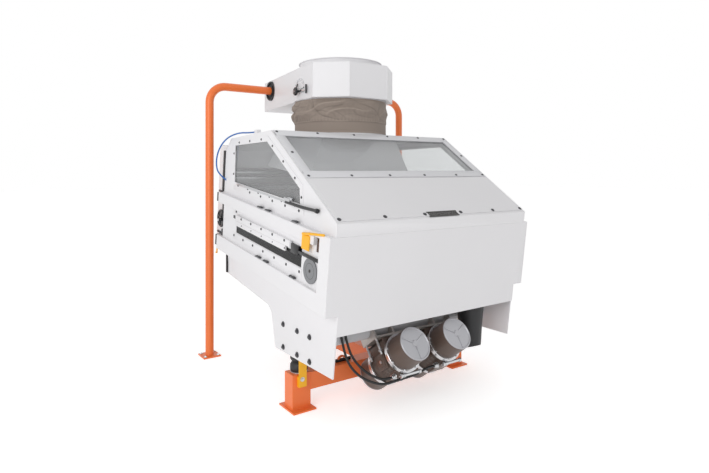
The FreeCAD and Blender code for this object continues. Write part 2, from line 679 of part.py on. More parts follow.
def rear_sill():
    """Box section across the body that closes it under the hood's rear edge."""
    half = WEB_HALF - WEB_SHEET
    outer = box(-half, half, SILL_Y, HOOD_REAR, SILL_Z, SIDE_HEIGHT)
    room = box(-half, half, SILL_Y + PANEL_SHEET, HOOD_REAR - PANEL_SHEET, SILL_Z + PANEL_SHEET,
               SIDE_HEIGHT - PANEL_SHEET)
    ledges = box(-half, half, SILL_Y, BODY_LENGTH, SIDE_HEIGHT - PANEL_SHEET, SIDE_HEIGHT)
    middle = box(-HOOD_HALF + 40, HOOD_HALF - 40, SILL_Y, BODY_LENGTH, SILL_Z, SIDE_HEIGHT)
    return outer.cut(room).cut(ledges.cut(middle))


def slot_window():
    inner = -WEB_HALF + WEB_SHEET
    return box(inner, inner + WINDOW_THICK, SLOT_Y[0] - WINDOW_LAP, SLOT_Y[1] + WINDOW_LAP,
               SLOT_Z[0] - WINDOW_LAP, SLOT_Z[1] + WINDOW_LAP)


def front_panel():
    upper = box(-FRAME_HALF, FRAME_HALF, 0, PANEL_SHEET, 0, SIDE_HEIGHT)
    lower = box(-PLATE_HALF, PLATE_HALF, 0, PANEL_SHEET, -SKIRT_DROP, 0)
    return joined([upper, lower])


def lower_side_plate():
    """Side plate under the left frame; its lower front stands square to the floor."""
    outline = [body_point(PANEL_SHEET, 0), body_point(PANEL_SHEET, -SKIRT_DROP)]
    outline += PLATE_FOOT + [PLATE_REAR, body_point(BODY_LENGTH, 0)]
    plate = prism(outline, -PLATE_HALF, -PLATE_HALF + PLATE_THICK)
    seat_z = LEG_TOP + BUFFER_HEIGHT
    inner = -PLATE_HALF + PLATE_THICK
    seat = box(inner, -BUFFER_X + SEAT_HALF, -SEAT_HALF, SEAT_HALF, seat_z, seat_z + SEAT_THICK)
    rib = box(inner, -BUFFER_X, -SEAT_THICK / 2, SEAT_THICK / 2, seat_z + SEAT_THICK, seat_z + SEAT_RIB)
    return joined([plate, seat, rib])


def bottom_pan():
    half = PLATE_HALF - PLATE_THICK
    return box(-half, half, PANEL_SHEET, BODY_LENGTH, 0, PANEL_SHEET)


def deck(half, z):
    y0 = DECK_END
    y1 = SILL_Y
    frame = box(-half, half, y0, y1, z, z + DECK_DEPTH)
    window = box(-half + DECK_RIM, half - DECK_RIM, y0 + DECK_RIM, y1 - DECK_RIM,
                 z, z + DECK_DEPTH - SCREEN_THICK)
    return frame.cut(window)


def stepped_outline(back):
    """Outline that fits behind the body below the sill and behind the hood above it."""
    return [(BODY_LENGTH + back, 0), (BODY_LENGTH + back, SILL_Z - back), (HOOD_REAR + back, SILL_Z - back),
            (HOOD_REAR + back, HOOD_REAR_UPPER[1] - HOOD_SHEET)]


def rear_passage():
    half = HOUSING_HALF - SEAL_FACE
    return box(-half, half, BODY_LENGTH, HOOD_REAR + SEAL_THICK + CUT_PAST, SEAL_FACE,
               HOOD_REAR_UPPER[1] - HOOD_SHEET - SEAL_FACE)


def rear_seal():
    outline = stepped_outline(SEAL_THICK) + stepped_outline(0)[::-1]
    return prism(outline, -HOUSING_HALF, HOUSING_HALF).cut(rear_passage())


def rear_housing():
    rear = HOOD_REAR + SEAL_THICK + HOUSING_DEPTH
    front = stepped_outline(SEAL_THICK)[:3] + [(HOOD_REAR + SEAL_THICK, HOUSING_TOP)]
    outline = front + [(rear, HOUSING_TOP), (rear, 0)]
    outer = prism(outline, -HOUSING_HALF, HOUSING_HALF)
    low = box(-HOUSING_HALF + HOUSING_SHEET, HOUSING_HALF - HOUSING_SHEET,
              BODY_LENGTH + SEAL_THICK + HOUSING_SHEET, rear - HOUSING_SHEET,
              HOUSING_SHEET, SILL_Z - SEAL_THICK - HOUSING_SHEET)
    high = box(-HOUSING_HALF + HOUSING_SHEET, HOUSING_HALF - HOUSING_SHEET,
               HOOD_REAR + SEAL_THICK + HOUSING_SHEET, rear - HOUSING_SHEET,
               HOUSING_SHEET, HOUSING_TOP - HOUSING_SHEET)
    pin = rod(WHEEL_PIN + CURVED_GAP, WHEEL_PIN_LONG, (-HOUSING_HALF - CUT_PAST, WHEEL_Y, WHEEL_Z), (1, 0, 0))
    return outer.cut(low).cut(high).cut(rear_passage()).cut(pin)


def rear_cross_tube():
    """Tube between the lower plates that carries the rear buffer seat."""
    half = PLATE_HALF - PLATE_THICK
    seat_z = REAR_LEG_TOP + BUFFER_HEIGHT
    centre_z = seat_z + SEAT_THICK + TUBE_RADIUS
    tube = pipe(TUBE_RADIUS, TUBE_RADIUS - TUBE_WALL, 2 * half, (-half, REAR_LEG_Y, centre_z), (1, 0, 0))
    shoe = box(-SEAT_HALF, SEAT_HALF, REAR_LEG_Y - SEAT_HALF, REAR_LEG_Y + SEAT_HALF, seat_z,
               seat_z + SEAT_THICK + TUBE_RADIUS / 2)
    shoe = shoe.cut(rod(TUBE_RADIUS, 2 * half, (-half, REAR_LEG_Y, centre_z), (1, 0, 0)))
    return joined([tube, shoe])


def motor_placed(shape):
    """Turn a piece drawn along +Y from the origin to the motor's slope and place."""
    placed = shape.copy()
    placed.rotate(V(0, 0, 0), V(1, 0, 0), -MOTOR_SLOPE)
    placed.translate(V(0, MOTOR_FRONT_Y, MOTOR_FRONT_Z))
    return placed


def motor(x):
    """One motor with its feet above, terminal box below and cable gland to the left."""
    lengths = [CAP_LENGTH, RING_LENGTH, CORE_LENGTH, RING_LENGTH, CAP_LENGTH]
    radii = [CAP_RADIUS, RING_RADIUS, CORE_RADIUS, RING_RADIUS, CAP_RADIUS]
    starts = [sum(lengths[:index]) for index in range(5)]
    pieces = [rod(radius, length, (x, start, 0), (0, 1, 0))
              for radius, length, start in zip(radii, lengths, starts)]
    y0 = starts[2]
    y1 = starts[3]
    pieces.append(box(x - MOTOR_FOOT_HALF, x + MOTOR_FOOT_HALF, y0, y1, 0, MOTOR_SEAT))
    pieces.append(box(x - TERMINAL_HALF, x + TERMINAL_HALF, y0, y1, -TERMINAL_DEEP, 0))
    gland = (x - TERMINAL_HALF - GLAND_LONG, y0 + GLAND_AT, -GLAND_DEEP)
    pieces.append(rod(GLAND_RADIUS, GLAND_LONG, gland, (1, 0, 0)))
    return motor_placed(joined(pieces))


def tube_in_motor_frame():
    angle = math.radians(MOTOR_SLOPE)
    dy = TUBE_Y - MOTOR_FRONT_Y
    dz = TUBE_Z - MOTOR_FRONT_Z
    return dy * math.cos(angle) - dz * math.sin(angle), dy * math.sin(angle) + dz * math.cos(angle)


def motor_bracket():
    tube_y, tube_z = tube_in_motor_frame()
    y0 = tube_y - CHEEK_HALF
    y1 = tube_y + CHEEK_HALF
    plate = box(-BRACKET_HALF, BRACKET_HALF, y0, y1, MOTOR_SEAT, MOTOR_SEAT + BRACKET_PLATE)
    outline = [(y0, MOTOR_SEAT), (y1, MOTOR_SEAT), (y1, tube_z), (y1 - CHEEK_BEVEL, tube_z + CHEEK_RISE),
               (y0 + CHEEK_BEVEL, tube_z + CHEEK_RISE), (y0, tube_z)]
    half = BRACKET_PLATE / 2
    webs = [prism(outline, x - half, x + half)
            for x in (-BRACKET_HALF + half, -MOTOR_X, MOTOR_X, BRACKET_HALF - half)]
    bore = rod(TUBE_RADIUS + CURVED_GAP, 2 * BRACKET_HALF, (-BRACKET_HALF, TUBE_Y, TUBE_Z), (1, 0, 0))
    return motor_placed(joined([plate] + webs)).cut(bore)


def cross_tube():
    half = PLATE_HALF - PLATE_THICK
    return pipe(TUBE_RADIUS, TUBE_RADIUS - TUBE_WALL, 2 * half, (-half, TUBE_Y, TUBE_Z), (1, 0, 0))


def sock_cone(inward):
    height = SOCK_Z[1] - SOCK_Z[0]
    foot = V(SOCK_X, SOCK_Y, SOCK_Z[0])
    return Part.makeCone(SOCK_LOW_RADIUS - inward, SOCK_TOP_RADIUS - inward, height, foot, V(0, 0, 1))


def outlet_sock():
    room = tilted(box(-FRAME_HALF, FRAME_HALF, -BODY_LENGTH, BODY_LENGTH, 0, SIDE_HEIGHT))
    return sock_cone(0).cut(sock_cone(SOCK_WALL)).cut(room)


def hand_wheel():
    x = -HOUSING_HALF - WHEEL_OFF
    along = (1, 0, 0)
    rim = pipe(WHEEL_RADIUS, WHEEL_RADIUS - WHEEL_RIM, WHEEL_RIM, (x, WHEEL_Y, WHEEL_Z), along)
    disc = rod(WHEEL_RADIUS - WHEEL_RIM / 2, WHEEL_RIM / 2, (x, WHEEL_Y, WHEEL_Z), along)
    hub = rod(HUB_RADIUS, WHEEL_OFF, (x - WHEEL_PIN, WHEEL_Y, WHEEL_Z), along)
    pin = rod(WHEEL_PIN, WHEEL_PIN_LONG, (x, WHEEL_Y, WHEEL_Z), along)
    grip_y = WHEEL_Y - WHEEL_RADIUS + HUB_RADIUS
    grip = rod(GRIP_RADIUS, GRIP_LONG, (x + WHEEL_RIM / 2 - GRIP_LONG, grip_y, WHEEL_Z), along)
    return joined([rim, disc, hub, pin, grip])


def indicator_disc():
    return rod(DISC_RADIUS, DISC_THICK, (-WEB_HALF - DISC_THICK, DISC_Y, DISC_Z), (1, 0, 0))


def lifting_hook():
    """Strap down the upper band, bent over it up to the hood."""
    x = -FRAME_HALF - HOOK_THICK
    top = SIDE_HEIGHT + HOOK_THICK
    strap = box(x, -FRAME_HALF, HOOK_Y[0], HOOK_Y[1], HOOK_LOW, top)
    over = box(x, -HOOD_HALF, HOOK_Y[0], HOOK_Y[1], SIDE_HEIGHT, top)
    return joined([strap, over])


def pull_rod():
    """Rail screwed over the top edge of the slot, with the rod drawn to the front."""
    x = -WEB_HALF - RAIL_THICK
    rail = box(x, -WEB_HALF, RAIL_Y[0], RAIL_Y[1], RAIL_Z[0], RAIL_Z[1])
    centre = x + RAIL_THICK / 2
    shaft = rod(ROD_RADIUS, RAIL_Y[0] - ROD_FRONT, (centre, ROD_FRONT, ROD_Z), (0, 1, 0))
    knob = rod(KNOB_RADIUS, KNOB_LONG, (centre, ROD_FRONT, ROD_Z), (0, 1, 0))
    return joined([rail, shaft, knob])


def cord_route(points):
    """Straight runs joined by tangent arcs, with the radius of each arc."""
    corners = [V(*point) for point in points]
    edges = []
    radii = []
    start = corners[0]
    for before, here, after in zip(corners, corners[1:], corners[2:]):
        back = (before - here).normalize()
        ahead = (after - here).normalize()
        turn = math.pi - back.getAngle(ahead)
        reach = CORD_ARC * min((before - here).Length, (after - here).Length)
        radius = reach / math.tan(turn / 2)
        middle = (back + ahead).normalize()
        entry = here + back * reach
        leave = here + ahead * reach
        peak = here + middle * (radius / math.cos(turn / 2) - radius)
        edges.append(Part.makeLine(start, entry))
        edges.append(Part.Arc(entry, peak, leave).toShape())
        radii.append(round(radius, 1))
        start = leave
    edges.append(Part.makeLine(start, corners[-1]))
    return Part.Wire(edges), radii


def cord(name, points, diameter):
    route, radii = cord_route(points)
    first = V(*points[1]) - V(*points[0])
    circle = Part.Wire(Part.makeCircle(diameter / 2, V(*points[0]), first))
    solid = route.makePipeShell([circle], True, False)
    section = math.pi * diameter ** 2 / 4
    print(name, "radii", radii, "length", round(route.Length, 1),
          "volume over section and length", round(solid.Volume / section / route.Length, 4))
    export(name, solid)


def cable_points(run, motor_x):
    """Points of a cable that ends in the face of the gland on the motor at motor_x."""
    angle = math.radians(MOTOR_SLOPE)
    along = CAP_LENGTH + RING_LENGTH + GLAND_AT
    end_y = MOTOR_FRONT_Y + along * math.cos(angle) - GLAND_DEEP * math.sin(angle)
    end_z = MOTOR_FRONT_Z - along * math.sin(angle) - GLAND_DEEP * math.cos(angle)
    end_x = motor_x - TERMINAL_HALF - GLAND_LONG
    return [(end_x + x, end_y + y, end_z + z) for x, y, z in run]


def hose_fitting():
    """Block on the roof that the air hose starts from."""
    x, y, z = HOSE_POINTS[0]
    block = box(x - FITTING_HALF, x + FITTING_HALF, y - FITTING_LONG, y,
                z - FITTING_TALL[0], z + FITTING_TALL[1])
    return block.cut(tilted(prism(hood_outline(), -HOOD_HALF, HOOD_HALF)))


def export(name, shape):
    placed = shape.copy()
    placed.translate(V(-FRAME_X, -FRAME_Y, 0))
    placed.exportStep("parts/" + name + ".step")
    bounds = placed.BoundBox
    print(name, len(placed.Solids), round(placed.Volume / 1e3), [round(v, 1) for v in (
        bounds.XMin, bounds.XMax, bounds.YMin, bounds.YMax, bounds.ZMin, bounds.ZMax)])


def export_pair(name, shape):
    export(name + "_left", shape)
    export(name + "_right", mirrored(shape))


export("base_frame", base_frame())
export_pair("buffer_front", buffer(-BUFFER_X, 0, LEG_TOP))
export("buffer_rear", buffer(0, REAR_LEG_Y, REAR_LEG_TOP))
export_pair("lock_strap", lock_strap())
export("portal_frame", portal_frame())
export("air_box_walls", air_box_walls())
export("air_box_floor", air_box_floor())
export("air_box_top", air_box_top())
export("air_box_collar", air_box_collar())
export_pair("grommet", grommet())
export("damper_lever", damper_lever())
export("damper_quadrant", damper_quadrant())
export("air_sleeve", air_sleeve())
export("hood_side_left", tilted(hood_side()).cut(hose_hole()))
export("hood_side_right", mirrored(tilted(hood_side())))
export("hood_front", tilted(hood_front()))
export("hood_roof", hood_roof())
export("hood_rear", hood_rear())
export("roof_spigot", roof_spigot())
export("front_window", tilted(front_window()))
export_pair("side_window", tilted(side_window()))
export("inner_air_duct", tilted(inner_air_duct()))
export_pair("side_frame", tilted(side_frame()))
export_pair("slot_window", tilted(slot_window()))
export("front_panel", tilted(front_panel()))
export_pair("lower_side_plate", lower_side_plate())
export("bottom_pan", tilted(bottom_pan()).cut(sock_cone(SOCK_WALL)))
export("upper_deck", tilted(deck(UPPER_DECK_HALF, SIDE_HEIGHT)))
export("lower_deck", tilted(deck(WEB_HALF - WEB_SHEET, LOWER_DECK_Z)))
export("rear_sill", tilted(rear_sill()))
export("rear_seal", tilted(rear_seal()))
export("rear_housing", tilted(rear_housing()))
export("rear_cross_tube", rear_cross_tube())
export("motor_left", motor(-MOTOR_X))
export("motor_right", motor(MOTOR_X))
export("motor_bracket", motor_bracket())
export("cross_tube", cross_tube())
export("outlet_sock", outlet_sock())
export("hand_wheel", tilted(hand_wheel()))
export_pair("indicator_disc", tilted(indicator_disc()))
export_pair("lifting_hook", tilted(lifting_hook()))
export_pair("pull_rod", tilted(pull_rod()))
export("hose_fitting", hose_fitting())
cord("air_hose", HOSE_POINTS, HOSE)
cord("motor_cable_left", cable_points(LEFT_CABLE_RUN, -MOTOR_X), CABLE)
cord("motor_cable_right", cable_points(RIGHT_CABLE_RUN, MOTOR_X), CABLE)
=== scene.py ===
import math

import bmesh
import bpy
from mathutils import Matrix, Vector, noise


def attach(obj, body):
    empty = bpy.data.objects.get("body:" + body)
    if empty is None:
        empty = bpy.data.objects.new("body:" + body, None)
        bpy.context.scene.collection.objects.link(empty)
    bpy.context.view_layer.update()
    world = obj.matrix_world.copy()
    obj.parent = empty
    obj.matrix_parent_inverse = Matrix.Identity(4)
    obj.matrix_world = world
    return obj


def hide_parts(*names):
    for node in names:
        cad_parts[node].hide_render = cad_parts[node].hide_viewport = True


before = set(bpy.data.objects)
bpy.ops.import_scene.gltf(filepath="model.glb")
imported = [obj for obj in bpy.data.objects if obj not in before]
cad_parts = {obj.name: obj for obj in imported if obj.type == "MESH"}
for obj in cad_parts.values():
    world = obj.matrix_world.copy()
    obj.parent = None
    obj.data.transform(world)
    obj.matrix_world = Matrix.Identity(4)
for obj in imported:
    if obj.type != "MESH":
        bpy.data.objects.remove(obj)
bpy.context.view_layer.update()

# %% [markdown]
# # A vibratory separator, dressed for a studio picture
#
# The construction model gives every steel sheet, leg, pipe and motor in its true place.
# This lesson keeps most of those shapes and gives them the paint, rubber, cloth and glass of
# the real machine. Shapes that a construction model leaves plain, such as the wrinkled sleeve
# or the ribbed motor covers, are built here again in finer form and stand for the plain ones.
#
# The machine is easiest to think about in its own places: the middle plane is x = 0, the front
# feet stand at y = 0, and the white body leans back by seven degrees. Three small matrices turn
# those places into the places of the whole scene, so every later step can use simple numbers.


def at(x, y, z):
    """The place of a point."""
    return Matrix.Translation((x, y, z))


def about(axis, degrees):
    """A turn about one of the three axes."""
    return Matrix.Rotation(math.radians(degrees), 4, axis)


MACHINE = at(-0.183, -0.3758, 0.0)
FLIP = Matrix.Scale(-1.0, 4, (1.0, 0.0, 0.0))
LEAN = at(0.0, -0.51, 0.648) @ about("X", 7.0)
SIDES = (("left", MACHINE), ("right", MACHINE @ FLIP))
BODY = MACHINE @ LEAN
BOX_SLOPE = math.atan2(0.138, 1.006)
DAMPER = (MACHINE @ at(-0.3063, 0.545, 1.936)
          @ Matrix.Rotation(-BOX_SLOPE, 4, "Z"))
HOOD_PITCH = math.atan2(0.413, 0.785)
SLOPE = BODY @ at(0.0, 0.0, 0.475) @ Matrix.Rotation(HOOD_PITCH, 4, "X")


def motor_place(x):
    """The place of a motor: its own y axis runs from the front cap down and back."""
    return (MACHINE @ at(x, -0.51, 0.42)
            @ about("X", -37.0))


print("machine, body and motor places set")

# %% [markdown]
# ## Colours and finishes
#
# Colours are picked from the photo as the usual six-digit codes. A screen code is not a light
# value, so one function turns it into the linear numbers that the shaders work with. A second
# small function adds a shader node with its settings and links, and a third starts a material
# or an object, which keeps the rest readable.

# %% Small helpers for materials and objects
def linear(code):
    """Light values for a colour code such as E8743A."""
    channels = [int(code[i:i + 2], 16) / 255 for i in (0, 2, 4)]
    return [c / 12.92 if c <= 0.04045 else ((c + 0.055) / 1.055) ** 2.4 for c in channels] + [1.0]


def shader(tree, kind, links=(), **values):
    """A new node: small-letter names are its settings, names with a capital its sockets."""
    new = tree.nodes.new("ShaderNode" + kind)
    for name, value in values.items():
        if name.islower():
            setattr(new, name, value)
        else:
            new.inputs[name.replace("_", " ")].default_value = value
    for name, output in links:
        tree.links.new(output, new.inputs[name])
    return new


def new_material(name):
    """A material with its node tree and its main shader."""
    material = bpy.data.materials.new(name)
    material.use_nodes = True
    return material, material.node_tree, material.node_tree.nodes["Principled BSDF"]


def new_object(name, data):
    """An object at the origin, shown in the scene."""
    made = bpy.data.objects.new(name, data)
    bpy.context.scene.collection.objects.link(made)
    return made


print("orange in linear light:", [round(c, 3) for c in linear("E8743A")[:3]])

# %% [markdown]
# Powder paint is a plastic skin over steel: nearly even in colour, with a fine orange-peel
# surface that breaks up the reflections. A large soft noise tints it by a few per cent, as
# dust and handling do, and a fine one gives the peel. Both are read in Object coordinates, so
# they have real size: the peel repeats about every three millimetres.

# %% Painted metal, rubber and plastics
def surface(name, code, roughness, metallic=0.0, peel=0.0, peel_scale=350.0, tint=0.06, coat=0.0):
    """A plain coloured surface with slight tone changes and a fine uneven skin."""
    material, tree, main = new_material(name)
    place = shader(tree, "TexCoord").outputs["Object"]
    cloud = shader(tree, "TexNoise", [("Vector", place)], Scale=2.4, Detail=4.0)
    colour = linear(code)
    mix = shader(tree, "Mix", data_type="RGBA")
    mix.inputs[6].default_value = [c * (1 - tint) for c in colour[:3]] + [1.0]
    mix.inputs[7].default_value = [min(1.0, c * (1 + tint)) for c in colour[:3]] + [1.0]
    tree.links.new(cloud.outputs["Fac"], mix.inputs[0])
    tree.links.new(mix.outputs[2], main.inputs["Base Color"])
    main.inputs["Roughness"].default_value = roughness
    main.inputs["Metallic"].default_value = metallic
    main.inputs["Coat Weight"].default_value = coat
    if peel:
        grain = shader(tree, "TexNoise", [("Vector", place)], Scale=peel_scale, Detail=2.0)
        bump = shader(tree, "Bump", [("Height", grain.outputs["Fac"])], Strength=peel,
                      Distance=0.0004)
        tree.links.new(bump.outputs["Normal"], main.inputs["Normal"])
    return material


WHITE = surface("powder-coated sheet steel", "E6E5E7", 0.42, peel=0.25, tint=0.02)
ORANGE = surface("orange powder-coated steel tube", "F07838", 0.38, peel=0.3, tint=0.05)
YELLOW = surface("yellow painted strap steel", "F7B515", 0.4, peel=0.2, tint=0.05)
MOTOR = surface("brown-grey enamelled cast iron", "5A4A42", 0.42, peel=0.5, peel_scale=220.0,
                tint=0.12)
GREY = surface("light grey painted steel tube", "B9B9BC", 0.45, peel=0.25, tint=0.04)
RUBBER = surface("black moulded rubber", "1E1E20", 0.55, peel=0.3, tint=0.15)
BLACK = surface("black moulded plastic", "17171A", 0.35, tint=0.1)
DISC = surface("grey plastic disc", "7F8083", 0.5, tint=0.05)
ZINC = surface("zinc-plated steel", "C9CACC", 0.28, metallic=1.0, tint=0.08)
CAST = surface("cast aluminium", "ACACB0", 0.45, metallic=0.8, peel=0.9, tint=0.16)
BLUE = surface("blue polyurethane hose", "1F63B0", 0.3, tint=0.05)
CABLE = surface("black cable jacket", "161617", 0.5, tint=0.1)
DARK = surface("dark painted steel", "3A3836", 0.5, peel=0.3, tint=0.1)
STEEL = surface("bright machined steel", "D4D4D6", 0.25, metallic=1.0, tint=0.05)
SCREW = surface("blackened screw steel", "4A4A4D", 0.4, metallic=0.6, tint=0.15)
# Painted shade: a dark brown standing for the shaded hollow of the hole behind the lifting hook.
POCKET_SHADE = surface("dark brown painted hole shade", "4E3322", 0.6, tint=0.2)
BRACKET = surface("dull galvanised plate", "B4B0AC", 0.36, metallic=0.75, tint=0.2)
FRAME_PAINT = surface("powder-coated window frame", "DADADD", 0.4, peel=0.25, tint=0.02)
print("eighteen plain finishes made")


# %% [markdown]
# The windows are clear plastic sheet. Light passes straight through it without bending, so the
# inside stays bright, and only faces turned to the viewer give sharp reflections. A face seen
# from behind would reflect everything at low angles and turn the window black.

# %% Clear window sheet
def clear_sheet(name, code, amount, haze):
    """Clear sheet with a little dust: amount is its shine, haze the share of light it scatters."""
    material, tree, main = new_material(name)
    tree.nodes.remove(main)
    shine = shader(tree, "BsdfGlossy", Roughness=0.04)
    through = shader(tree, "BsdfTransparent", Color=linear(code))
    edge = shader(tree, "Fresnel", IOR=1.35)
    behind = shader(tree, "NewGeometry").outputs["Backfacing"]
    front = shader(tree, "Math", [(1, behind)], operation="SUBTRACT")
    front.inputs[0].default_value = amount
    lift = shader(tree, "Math", [(0, edge.outputs[0]), (1, front.outputs[0])],
                  operation="MULTIPLY", use_clamp=True)
    dust = shader(tree, "BsdfDiffuse", Color=linear("F4F4F6"))
    hazy = shader(tree, "MixShader", [(1, through.outputs[0]), (2, dust.outputs[0])], Fac=haze)
    mix = shader(tree, "MixShader",
                 [(0, lift.outputs[0]), (1, hazy.outputs[0]), (2, shine.outputs[0])])
    tree.links.new(mix.outputs[0], tree.nodes["Material Output"].inputs["Surface"])
    return material


CLEAR = clear_sheet("clear polycarbonate sheet", "FAFBFB", 1.0, 0.14)
CLEAR_SLOT = clear_sheet("clear slot sheet", "E8E8EA", 0.9, 0.01)
print("window sheet made")

# %% [markdown]
# The screens are woven steel wire, far too fine to model wire by wire. Two wave patterns at
# right angles, in real wire spacing, raise the wires as a bump.

# %% Woven screen
def weave(tree, place, spacing, join, strength, distance):
    """Two waves at right angles, one per thread spacing, joined and read as a bump."""
    waves = []
    for direction in ("X", "Y"):
        wave = shader(tree, "TexWave", [("Vector", place)], Scale=0.314 / spacing,
                      bands_direction=direction)
        waves.append(wave.outputs["Fac"])
    both = shader(tree, "Math", [(0, waves[0]), (1, waves[1])], operation=join)
    bump = shader(tree, "Bump", [("Height", both.outputs[0])], Strength=strength,
                  Distance=distance)
    tree.links.new(bump.outputs["Normal"], tree.nodes["Principled BSDF"].inputs["Normal"])


SCREEN = surface("woven wire screen", "2E2C2A", 0.5, metallic=0.4, tint=0.1)
wires = shader(SCREEN.node_tree, "TexCoord").outputs["Object"]
weave(SCREEN.node_tree, wires, 0.006, "MAXIMUM", 0.6, 0.001)
print("screen made")

# %% [markdown]
# ## Camera
#
# The camera stands where the photographer stood, at eye height, looking in over the left front
# corner. Its upright axis stays upright, so the picture is framed with a small lens shift.

# %% Camera
PHOTO_WIDE = 709
PHOTO_SHIFT = -65.5
camera_data = bpy.data.cameras.new("camera")
camera_data.sensor_width = 36.0
camera_data.lens = 27.455
camera_data.shift_y = PHOTO_SHIFT / PHOTO_WIDE
camera = new_object("camera", camera_data)
camera.location = MACHINE @ Vector((-2.17, -2.78, 1.38))
camera.rotation_euler = (math.radians(90), 0.0, math.radians(-35.06))
bpy.context.scene.camera = camera
bpy.context.scene.view_settings.view_transform = "Standard"
print("camera at", [round(v, 3) for v in camera.location])


# %% [markdown]
# ## Hose and cables
#
# A blue air hose bends round the rear corner of the hood, and a cable hangs from the cross tube
# to each motor. Their routes repeat the points of the construction model. A spline of order
# three follows such points as one smooth line, and a round bevel gives the line its thickness.

# %% Hose and cables
HOSE_POINTS = [(-0.69, 0.4279, 1.6311), (-0.69, 0.5299, 1.6311), (-0.716, 0.6519, 1.6381),
               (-0.758, 0.7599, 1.6071), (-0.786, 0.8379, 1.5301), (-0.792, 0.8719, 1.4351),
               (-0.772, 0.8739, 1.3551), (-0.71, 0.8659, 1.3121)]
LEFT_CABLE_POINTS = [(-0.478, -0.2803, 0.462), (-0.46, -0.283, 0.385), (-0.434, -0.3045, 0.3178),
                     (-0.392, -0.3505, 0.2598), (-0.339, -0.3885, 0.2278),
                     (-0.303, -0.4025, 0.2138), (-0.247, -0.4025, 0.2138)]
RIGHT_CABLE_POINTS = [(-0.505, -0.28, 0.46), (-0.492, -0.286, 0.38), (-0.47, -0.306, 0.3),
                      (-0.425, -0.345, 0.238), (-0.36, -0.385, 0.203), (-0.3, -0.408, 0.188),
                      (-0.225, -0.4157, 0.1964), (-0.1, -0.4149, 0.1964), (-0.03, -0.409, 0.204),
                      (0.03, -0.4025, 0.2138), (0.079, -0.4025, 0.2138)]


def cord_piece(name, points, diameter, material, node):
    """A smooth round cord along a few points, standing for the cord of the construction model."""
    curve = bpy.data.curves.new(name, "CURVE")
    curve.dimensions = "3D"
    curve.bevel_depth = diameter / 2
    curve.bevel_resolution = 6
    curve.resolution_u = 16
    curve.use_fill_caps = True
    spline = curve.splines.new("NURBS")
    spline.points.add(len(points) - 1)
    for spot, point in zip(spline.points, points):
        spot.co = (*(MACHINE @ Vector(point)), 1.0)
    spline.order_u = 3
    spline.use_endpoint_u = True
    curve.materials.append(material)
    piece = new_object(name, curve)
    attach(piece, "machine")
    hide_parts(node)
    return piece


cord_piece("air_hose_line", HOSE_POINTS, 0.01, BLUE, "air_hose")
cord_piece("left_motor_cable_line", LEFT_CABLE_POINTS, 0.014, CABLE, "motor_cable_left")
cord_piece("right_motor_cable_line", RIGHT_CABLE_POINTS, 0.014, CABLE, "motor_cable_right")
print("one hose and two cables laid")

# %% [markdown]
# ## Dressing the construction shapes
#
# Sheet steel never has a perfectly sharp edge. Each kept shape but the windows gets two
# modifiers: one welds the corners of its triangles together, the next rounds every sharp edge by a
# millimetre or so, which is what catches the light along the folds.

# %% Finish for each kept shape
FINISH = {
    "base_frame": ORANGE, "portal_frame": ORANGE, "lock_strap": YELLOW, "lifting_hook": YELLOW,
    "buffer": RUBBER, "grommet": RUBBER, "rear_seal": RUBBER, "outlet_sock": RUBBER,
    "front_window": CLEAR, "side_window": CLEAR, "slot_window": CLEAR_SLOT,
    "upper_deck": SCREEN, "lower_deck": SCREEN, "motor_left": MOTOR, "motor_right": MOTOR,
    "motor_bracket": BRACKET, "cross_tube": GREY, "rear_cross_tube": GREY, "indicator_disc": DISC,
    "hand_wheel": BLACK, "damper": BLACK, "pull_rod": BLACK, "air_sleeve": DISC,
}
SHARP = ("front_window", "side_window", "slot_window")


def soften(piece, width):
    weld = piece.modifiers.new("weld", "WELD")
    weld.merge_threshold = 0.00001
    bevel = piece.modifiers.new("bevel", "BEVEL")
    bevel.width = width
    bevel.segments = 2
    bevel.limit_method = "ANGLE"
    bevel.angle_limit = math.radians(40)
    bevel.harden_normals = True


def finish_for(name):
    """The finish whose key is the longest start of the name, and white where none fits."""
    found = [key for key in FINISH if name.startswith(key)]
    return FINISH[max(found, key=len)] if found else WHITE


for name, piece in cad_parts.items():
    piece.data.materials.clear()
    piece.data.materials.append(finish_for(name))
    if not name.startswith(SHARP):
        soften(piece, 0.0012)
print(len(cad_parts), "construction shapes dressed")

# %% [markdown]
# ## Tools for the finer pieces
#
# Most fittings are made from three moves that a workshop also knows: a block with its edges
# rounded, a plate cut to an outline, and a round part turned from its profile. Each tool adds one
# such solid to a mesh in progress, at a place given by a matrix. The last tools put the mesh in
# its place, make it ride with the machine, and repeat it on the other side where there are two.

# %% Mesh tools
def put(work, shape, place):
    """Add a finished shape to the mesh in progress, at a place."""
    bmesh.ops.transform(shape, matrix=place, verts=shape.verts)
    bmesh.ops.recalc_face_normals(shape, faces=shape.faces)
    carrier = bpy.data.meshes.new("carrier")
    shape.to_mesh(carrier)
    shape.free()
    work.from_mesh(carrier)
    bpy.data.meshes.remove(carrier)


def rounded(shape, width, segments=2):
    """Round every edge of a shape by a small width."""
    bmesh.ops.bevel(shape, geom=shape.edges[:], offset=width, offset_type="OFFSET",
                    segments=segments, profile=0.5, affect="EDGES", material=-1, clamp_overlap=True)


def block(work, low, high, edge=0.001, place=Matrix()):
    """A rectangular solid between two corners."""
    shape = bmesh.new()
    bmesh.ops.create_cube(shape, size=1.0)
    bmesh.ops.scale(shape, vec=[b - a for a, b in zip(low, high)], verts=shape.verts)
    bmesh.ops.translate(shape, vec=[(a + b) / 2 for a, b in zip(low, high)], verts=shape.verts)
    rounded(shape, edge)
    put(work, shape, place)


def thicken(shape, faces, thick):
    """Give flat faces their thickness along Z."""
    grown = bmesh.ops.extrude_face_region(shape, geom=faces)["geom"]
    lifted = [part for part in grown if isinstance(part, bmesh.types.BMVert)]
    bmesh.ops.translate(shape, vec=(0.0, 0.0, thick), verts=lifted)


